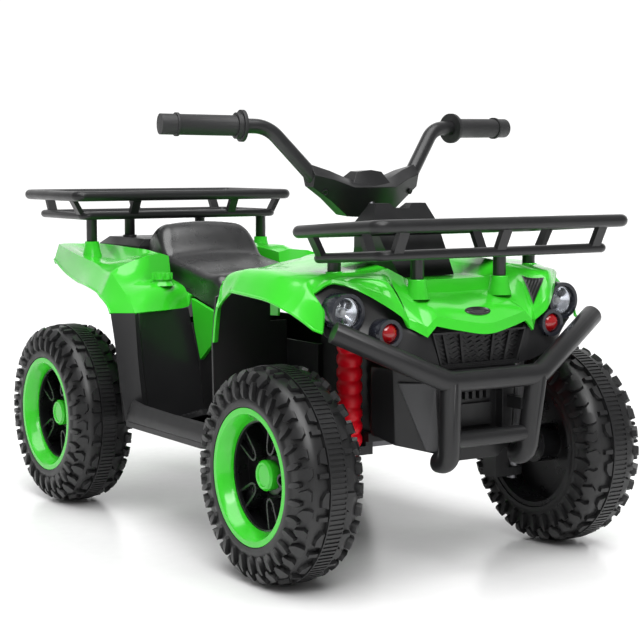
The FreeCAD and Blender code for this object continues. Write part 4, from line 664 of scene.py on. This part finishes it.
def vents():
    """Two triangles laid on the hood, with a raised frame and a mesh of small steps."""
    piece = Sheaf()
    hood = hood_grid()
    normals = outward(hood, -1)
    middle = (hood.shape[1] - 1) / 2
    count = VENT_CELLS
    cells = [(i, j) for i in range(count + 1) for j in range(count + 1 - i)]
    index = {cell: n for n, cell in enumerate(cells)}
    faces = []
    for i, j in cells:
        if i + j < count:
            faces.append((index[i, j], index[i + 1, j], index[i, j + 1]))
        if i + j < count - 1:
            faces.append((index[i + 1, j], index[i + 1, j + 1], index[i, j + 1]))
    for sign in (-1, 1):
        mesh = []
        for i, j in cells:
            shares = (1 - (i + j) / count, i / count, j / count)
            column, row = [sum(c[k] * s for c, s in zip(VENT_CORNERS, shares)) for k in (0, 1)]
            u = middle + sign * column * HOOD_STEPS
            v = row * HOOD_STEPS
            lift = VENT_FRAME_LIFT if min(shares) < VENT_FRAME else VENT_LIFT + VENT_RELIEF * ((i + j) % 2)
            mesh.append(patch_point(hood, u, v) + patch_point(normals, u, v) * lift)
        piece.add(mesh, [face[::-1] for face in faces] if sign > 0 else faces)
    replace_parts(place("vent_meshes", piece, "chassis", "black_satin", sharp=20.0), "hood_vents")


# Badge: a blank oval plate on the nose

BADGE = (0.0, -478.0, 358.4)
BADGE_HALF = (21.0, 9.0)
BADGE_SLOPE = 0.6
BADGE_BOW = 1.9
BADGE_BOW_REACH = 42.0
# Rings by share of the outline and height over the panel
BADGE_RINGS = ((1.0, 0.2), (0.98, 1.2), (0.9, 1.7), (0.86, 1.2), (0.4, 1.5), (0.0, 1.6))
BADGE_SEGMENTS = 48


def badge():
    """The plate follows the slope and the bow of the nose."""
    piece = Sheaf()
    cx, cy, cz = BADGE
    lean = math.hypot(1, BADGE_SLOPE)
    points = []
    for share, lift in BADGE_RINGS:
        for k in range(BADGE_SEGMENTS):
            angle = 2 * math.pi * k / BADGE_SEGMENTS
            x = cx + BADGE_HALF[0] * share * math.cos(angle)
            y = cy + BADGE_HALF[1] * share * math.sin(angle) / lean
            z = cz + (y - cy) * BADGE_SLOPE + BADGE_BOW * (x / BADGE_BOW_REACH) ** 2
            points.append((x, y - lift * BADGE_SLOPE / lean, z + lift / lean))
    piece.add(points, grid_faces(len(BADGE_RINGS), BADGE_SEGMENTS, closed=True))
    place("nose_badge", piece, "chassis", "black_satin", BADGE_BLACK, sharp=50.0)


# Tyres: a smooth skin with a ribbed middle band, tabs beside it and jagged shoulder blocks

TYRE_STEPS = 192
BAND_HALF = 10.8
BAND_EDGE = 12.2
BAND_FLOOR = 5.3
BAND_TOP = 6.7
BAND_RIBS = 132
RIB_FOOT = 4.5
RIB_SHARE = 0.55
TREAD_PERIODS = 16
TREAD_STAGGER = 0.25
PITCH = 54.2
DRAFT = 1.5
BLOCK_ROOT = -1.0
# The skin's section: distance from the middle plane and radius
CARCASS = ((0.0, 138.2), (12.5, 138.2), (26.0, 137.2), (32.5, 134.6), (38.0, 130.5), (41.8, 125.0),
           (44.0, 119.0), (45.2, 112.5), (46.0, 106.5), (47.6, 102.5), (48.2, 98.5), (47.6, 92.6),
           (43.0, 92.2))
CARCASS_BREAKS = (1, 11)
# Tread blocks of one period: distance from the middle, start and end along the tread, and height
BLOCKS = (
    ((12.0, 3.0, 12.0, 5.6), (27.0, 3.5, 11.5, 5.6)),
    ((12.0, 19.0, 43.0, 5.6), (18.0, 21.0, 42.0, 5.6), (24.5, 22.0, 34.0, 5.6)),
    ((31.0, 8.0, 19.0, 7.2), (37.0, 2.0, 21.0, 7.4), (43.0, 4.5, 20.0, 7.0), (50.0, 7.0, 14.0, 6.2)),
    ((33.5, 30.0, 44.0, 7.2), (39.0, 33.0, 47.5, 7.2), (45.0, 32.0, 45.0, 6.8), (51.0, 36.5, 43.0, 6.2)),
    ((45.0, 23.0, 29.0, 7.0), (53.0, 18.5, 30.0, 6.8), (61.0, 18.0, 29.5, 6.2), (70.0, 17.5, 26.0, 4.4)),
    ((46.0, 49.0, 55.5, 7.0), (53.0, 46.0, 57.5, 6.8), (61.0, 45.0, 56.0, 6.2), (70.0, 44.5, 52.0, 4.4)),
)


class Carcass:
    """The tyre's smooth skin: points and outward directions by distance along the section from the middle."""

    def __init__(self):
        self.curve = through(CARCASS, CARCASS_BREAKS, 6)
        steps = np.linalg.norm(np.diff(self.curve, axis=0), axis=1)
        self.run = np.concatenate([[0.0], np.cumsum(steps)])
        tangent = np.gradient(self.curve, axis=0)
        normal = np.stack([-tangent[:, 1], tangent[:, 0]], axis=1)
        self.normal = normal / np.linalg.norm(normal, axis=1, keepdims=True)

    def point(self, side, s, angle, lift):
        x, r = [np.interp(s, self.run, self.curve[:, k] + self.normal[:, k] * lift) for k in (0, 1)]
        return (side * x, r * math.cos(angle), r * math.sin(angle))


def add_block(piece, carcass, side, stations, turn):
    """A tread block with drafted walls, laid over the skin."""
    scale = 2 * math.pi / (TREAD_PERIODS * PITCH)
    rows = []
    last = len(stations) - 1
    for k, (s, start, end, height) in enumerate(stations):
        crown = s + (DRAFT if k == 0 else -DRAFT if k == last else 0.0)
        marks = ((s, start, BLOCK_ROOT), (crown, start + DRAFT, height), (crown, end - DRAFT, height),
                 (s, end, BLOCK_ROOT))
        rows.append([carcass.point(side, at, turn + t * scale, lift) for at, t, lift in marks])
    faces = grid_faces(len(rows), 4, side > 0)
    ends = [(3, 2, 1, 0), tuple(4 * last + k for k in range(4))]
    faces += ends if side < 0 else [face[::-1] for face in ends]
    piece.add([p for row in rows for p in row], faces)


def tyre_mesh():
    """A tyre about the X axis, its middle at the origin."""
    piece = Sheaf()
    carcass = Carcass()
    skin = [(0.0, BAND_FLOOR), (BAND_HALF, BAND_FLOOR), (BAND_HALF + 0.1, BAND_TOP), (BAND_EDGE, BAND_TOP),
            (BAND_EDGE + 0.4, 0.0)]
    skin += [(s, 0.0) for s in carcass.run[carcass.run > BAND_EDGE + 1]]
    rings = [(-1, s, lift) for s, lift in reversed(skin[1:])] + [(1, s, lift) for s, lift in skin]
    points = [carcass.point(side, s, 2 * math.pi * k / TYRE_STEPS, lift)
              for side, s, lift in rings for k in range(TYRE_STEPS)]
    piece.add(points, grid_faces(len(rings), TYRE_STEPS, closed=True))
    for k in range(BAND_RIBS):
        near, far = [2 * math.pi * (k + share) / BAND_RIBS for share in (0.0, RIB_SHARE)]
        corners = [carcass.point(side, BAND_HALF, angle, lift) for lift in (RIB_FOOT, BAND_TOP)
                   for side, angle in ((-1, near), (1, near), (1, far), (-1, far))]
        piece.add(corners, [(4, 7, 6, 5), (0, 4, 5, 1), (1, 5, 6, 2), (2, 6, 7, 3), (3, 7, 4, 0)])
    for side in (-1, 1):
        for k in range(TREAD_PERIODS):
            turn = 2 * math.pi * (k + TREAD_STAGGER * side) / TREAD_PERIODS
            for stations in BLOCKS:
                add_block(piece, carcass, side, stations, turn)
    return piece


def tyres():
    """One tyre mesh, set in place four times."""
    shared = tyre_mesh()
    for wheel in WHEELS:
        centre, turn = wheel_place(wheel)
        placed = Sheaf()
        placed.add([(x * turn + centre.x, y * turn + centre.y, z + centre.z) for x, y, z in shared.points],
                   shared.faces)
        piece = place("tread_" + wheel, placed, "wheel_" + wheel, "tyre_black", sharp=38.0)
        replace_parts(piece, "tyre_" + wheel)


# Headlights: a domed glass, a stepped dish behind it and a bulb

HEADLIGHT = (182.0, -436.0, 361.5)
HEADLIGHT_RADIUS = 20.2
GLASS_ARC = 1.35
GLASS_RISE = 7.0
GLASS_FOOT = -1.0
GLASS_BACK = -6.0
GLASS_WALL = 1.2
GLASS_INNER = 0.94
DISH_STEPS = 6
DISH_SHARE = 0.93
DISH_STEP_SHARE = 0.145
DISH_STEP_DEPTH = 1.6
DISH_STEP_WIDTH = 1.2
DISH_STEP_FALL = 0.6
DISH_HOLE = (3.5, -12.5)
BULB_RADIUS = 4.4
BULB_DEPTH = -8.0
BULB_ARC = 2.4


def glass_profile():
    """Half of the glass's section: a dome with a wall of even depth."""
    radius = HEADLIGHT_RADIUS
    flat = math.cos(GLASS_ARC)
    dome = [(radius * math.sin(a), GLASS_FOOT + GLASS_RISE * (math.cos(a) - flat) / (1 - flat))
            for a in np.linspace(GLASS_ARC, 0.0, 12)]
    under = [(r * GLASS_INNER, h - GLASS_WALL) for r, h in reversed(dome)]
    return [(radius, GLASS_BACK)] + dome + under + [(radius * GLASS_INNER, GLASS_BACK)]


def dish_profile():
    """Half of the dish's section: steps that fall towards the bulb."""
    steps = []
    for k in range(DISH_STEPS):
        r = HEADLIGHT_RADIUS * DISH_SHARE * (1 - DISH_STEP_SHARE * k)
        depth = -DISH_STEP_DEPTH * (k + 1)
        steps += [(r, depth), (r - DISH_STEP_WIDTH, depth - DISH_STEP_FALL)]
    return steps + [DISH_HOLE]


def bulb_profile():
    return [(BULB_RADIUS * math.sin(a), BULB_DEPTH + BULB_RADIUS * math.cos(a))
            for a in np.linspace(BULB_ARC, 0.0, 10)]


def headlights():
    glass = Sheaf()
    dish = Sheaf()
    bulb = Sheaf()
    for sign in (-1, 1):
        centre = (sign * HEADLIGHT[0], HEADLIGHT[1], HEADLIGHT[2])
        add_turned(glass, glass_profile(), centre, (0, -1, 0))
        add_turned(dish, dish_profile(), centre, (0, -1, 0))
        add_turned(bulb, bulb_profile(), centre, (0, -1, 0), 24)
    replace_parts(place("headlight_glass", glass, "chassis", "lens_clear"), "headlight_lenses")
    place("headlight_dish", dish, "chassis", "steel", REFLECTOR, sharp=20.0)
    place("headlight_bulb", bulb, "chassis", "lens_clear", BULB)


# Grille: a tray with a rim, slanted ribs and a zig-zag mesh between them

GRILLE_HALF = 78.6
GRILLE_TOP = 333.6
GRILLE_BOTTOM = 288.4
GRILLE_TAPER = 14.0
GRILLE_FACE = -476.5
GRILLE_FRONT = -484.0
GRILLE_BACK = -470.5
GRILLE_FLOOR = -474.5
GRILLE_INSET = (0.962, 0.88)
SLAT_SHARES = (-0.72, -0.36, 0.36, 0.72)
SLAT_FRONT = -478.5
SLAT_WIDTH = 4.0
SLAT_DEPTH = 5.0
SLAT_MARGIN = 2.0
MESH_ROWS = 7
MESH_PITCH = 7.0
MESH_RISE = 3.0
MESH_MARGIN = 4.0
MESH_WIDTH = 1.6
MESH_DEPTH = 2.5


def grille_half(z):
    """Half of the grille's width at a height."""
    return GRILLE_HALF - GRILLE_TAPER * (GRILLE_TOP - z) / (GRILLE_TOP - GRILLE_BOTTOM)


def grille():
    piece = Sheaf()
    rim = [(-grille_half(z), z) for z in (GRILLE_TOP, GRILLE_BOTTOM)]
    rim += [(grille_half(z), z) for z in (GRILLE_BOTTOM, GRILLE_TOP)]
    middle = (GRILLE_TOP + GRILLE_BOTTOM) / 2
    inset = [(x * GRILLE_INSET[0], middle + (z - middle) * GRILLE_INSET[1]) for x, z in rim]
    rings = [(rim, GRILLE_BACK), (rim, GRILLE_FRONT), (inset, GRILLE_FRONT), (inset, GRILLE_FLOOR)]
    tray = [(x, y, z) for ring, y in rings for x, z in ring]
    piece.add(tray, grid_faces(len(rings), 4, closed=True) + [(12, 13, 14, 15), (3, 2, 1, 0)])
    for share in SLAT_SHARES:
        low = (share * grille_half(GRILLE_BOTTOM), SLAT_FRONT, GRILLE_BOTTOM + SLAT_MARGIN)
        high = (share * grille_half(GRILLE_TOP), SLAT_FRONT, GRILLE_TOP - SLAT_MARGIN)
        add_bar(piece, low, high, SLAT_WIDTH, SLAT_DEPTH, (0, -1, 0))
    for level in np.linspace(GRILLE_BOTTOM + MESH_MARGIN, GRILLE_TOP - MESH_MARGIN, MESH_ROWS):
        half = grille_half(level) - SLAT_MARGIN
        count = int(2 * half / MESH_PITCH)
        path = []
        for i in range(count + 1):
            swing = MESH_RISE / 2 if i % 2 else -MESH_RISE / 2
            path.append((-half + i * 2 * half / count, GRILLE_FACE, level + swing))
        for a, b in zip(path, path[1:]):
            add_bar(piece, a, b, MESH_WIDTH, MESH_DEPTH, (0, -1, 0))
    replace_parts(place("grille_mesh", piece, "chassis", "black_satin"), "grille")


# Solids kept as they are: their edges are rounded and they get their finish

SMALL_NODES = {"body_screws", "axle_nut_left", "axle_nut_right", "rear_axle_nuts", "direction_switch",
               "power_button", "fuel_caps", "tie_bar", "kingpins", "indicator_lenses"}
SMALL_ROUND = 0.35
LARGE_ROUNDS = {"dash_cowl": 4.0, "guard_pads": 1.6, "lower_guard": 2.5, "rear_deck": 3.0, "knee_trims": 1.2,
                "battery": 2.0}
USUAL_ROUND = 0.8
ROUND_ANGLE = 30.0
WELD_REACH = 0.02


def dress_solids():
    """Every solid gets its slot's finish and small rounds, wider ones on the large mouldings."""
    for name, node in NODES.items():
        node.data.materials.clear()
        node.data.materials.append(MATERIALS[SLOT_OF[name]])
        weld = node.modifiers.new("weld", "WELD")
        weld.merge_threshold = WELD_REACH * MM
        width = SMALL_ROUND if name in SMALL_NODES else LARGE_ROUNDS.get(name, USUAL_ROUND)
        rounded(node, width, ROUND_ANGLE)


# Floor, light and camera, in metres

FLOOR_HALF = 12.0
BACKDROP = (0.544, 0.839, 0.0)
BACKDROP_FADE = (0.35, 0.85)
ROOM_LIGHT = 0.32
WALL_LIGHT = 1.1
TOP_DIRECTION = (0.12, 0.25, -1.0)
TOP_STRENGTH = 3.2
TOP_SPREAD = 60.0
FRONT_PLACE = (-1.2, -2.6, 2.4)
FRONT_TARGET = (0.0, -0.2, 0.3)
FRONT_SIZE = (1.6, 1.0)
FRONT_POWER = 38.0
CAMERA_PLACE = (-1.3700, -2.2063, 0.5591)
CAMERA_TARGET = (0.0, -0.0935, 0.3153)
CAMERA_LENS = 93.44
CAMERA_SENSOR = 36.0


def stage():
    """A plain pale floor."""
    mesh = bpy.data.meshes.new("floor")
    corners = [(x * FLOOR_HALF, y * FLOOR_HALF, 0) for x, y in ((-1, -1), (1, -1), (1, 1), (-1, 1))]
    mesh.from_pydata(corners, [], [(0, 1, 2, 3)])
    floor = bpy.data.objects.new("floor", mesh)
    bpy.context.scene.collection.objects.link(floor)
    mesh.materials.append(finish("floor", (0.93, 0.93, 0.93), 0.22, spread=0.02, vary=0.01))


def aim(thing, direction):
    """Turns a lamp or the camera along a direction and adds it to the scene."""
    thing.rotation_euler = Vector(direction).to_track_quat("-Z", "Y").to_euler()
    bpy.context.scene.collection.objects.link(thing)


def softbox(name, place_at, look_at, size, power):
    light = bpy.data.lights.new(name, "AREA")
    light.shape = "RECTANGLE"
    light.size, light.size_y = size
    light.energy = power
    lamp = bpy.data.objects.new(name, light)
    lamp.location = place_at
    aim(lamp, Vector(look_at) - Vector(place_at))


def backdrop(tree, shade):
    """A white wall of light behind the quad; the rest of the room is dimmer."""
    coord = tree.nodes.new("ShaderNodeTexCoord")
    facing = tree.nodes.new("ShaderNodeVectorMath")
    facing.operation = "DOT_PRODUCT"
    facing.inputs[1].default_value = BACKDROP
    tree.links.new(coord.outputs["Generated"], facing.inputs[0])
    fade = tree.nodes.new("ShaderNodeMapRange")
    fade.interpolation_type = "SMOOTHSTEP"
    fade.inputs["From Min"].default_value = BACKDROP_FADE[0]
    fade.inputs["From Max"].default_value = BACKDROP_FADE[1]
    fade.inputs["To Min"].default_value = ROOM_LIGHT
    fade.inputs["To Max"].default_value = WALL_LIGHT
    tree.links.new(facing.outputs["Value"], fade.inputs["Value"])
    tree.links.new(fade.outputs["Result"], shade.inputs["Strength"])


def sky_lamp(name, direction, strength, spread):
    """A very broad, soft lamp far away, so that the floor is lit alike everywhere."""
    light = bpy.data.lights.new(name, "SUN")
    light.energy = strength
    light.angle = math.radians(spread)
    aim(bpy.data.objects.new(name, light), direction)


def studio():
    """Light from a bright wall behind, a broad lamp above and a softbox in front."""
    world = bpy.data.worlds.new("studio")
    bpy.context.scene.world = world
    world.use_nodes = True
    shade = world.node_tree.nodes["Background"]
    shade.inputs["Color"].default_value = (1.0, 1.0, 1.0, 1.0)
    backdrop(world.node_tree, shade)
    sky_lamp("top", TOP_DIRECTION, TOP_STRENGTH, TOP_SPREAD)
    softbox("front", FRONT_PLACE, FRONT_TARGET, FRONT_SIZE, FRONT_POWER)
    bpy.context.scene.view_settings.view_transform = "Standard"


def photographer():
    """The camera where the photograph was taken from."""
    camera = bpy.data.cameras.new("camera")
    camera.lens = CAMERA_LENS
    camera.sensor_width = CAMERA_SENSOR
    camera.dof.use_dof = False
    eye = bpy.data.objects.new("camera", camera)
    eye.location = CAMERA_PLACE
    aim(eye, Vector(CAMERA_TARGET) - Vector(CAMERA_PLACE))
    bpy.context.scene.camera = eye


dress_solids()
front_shell()
rear_shell()
fascia()
side_bodies()
bar_cover()
vents()
badge()
tyres()
rims()
headlights()
grille()
stage()
studio()
photographer()
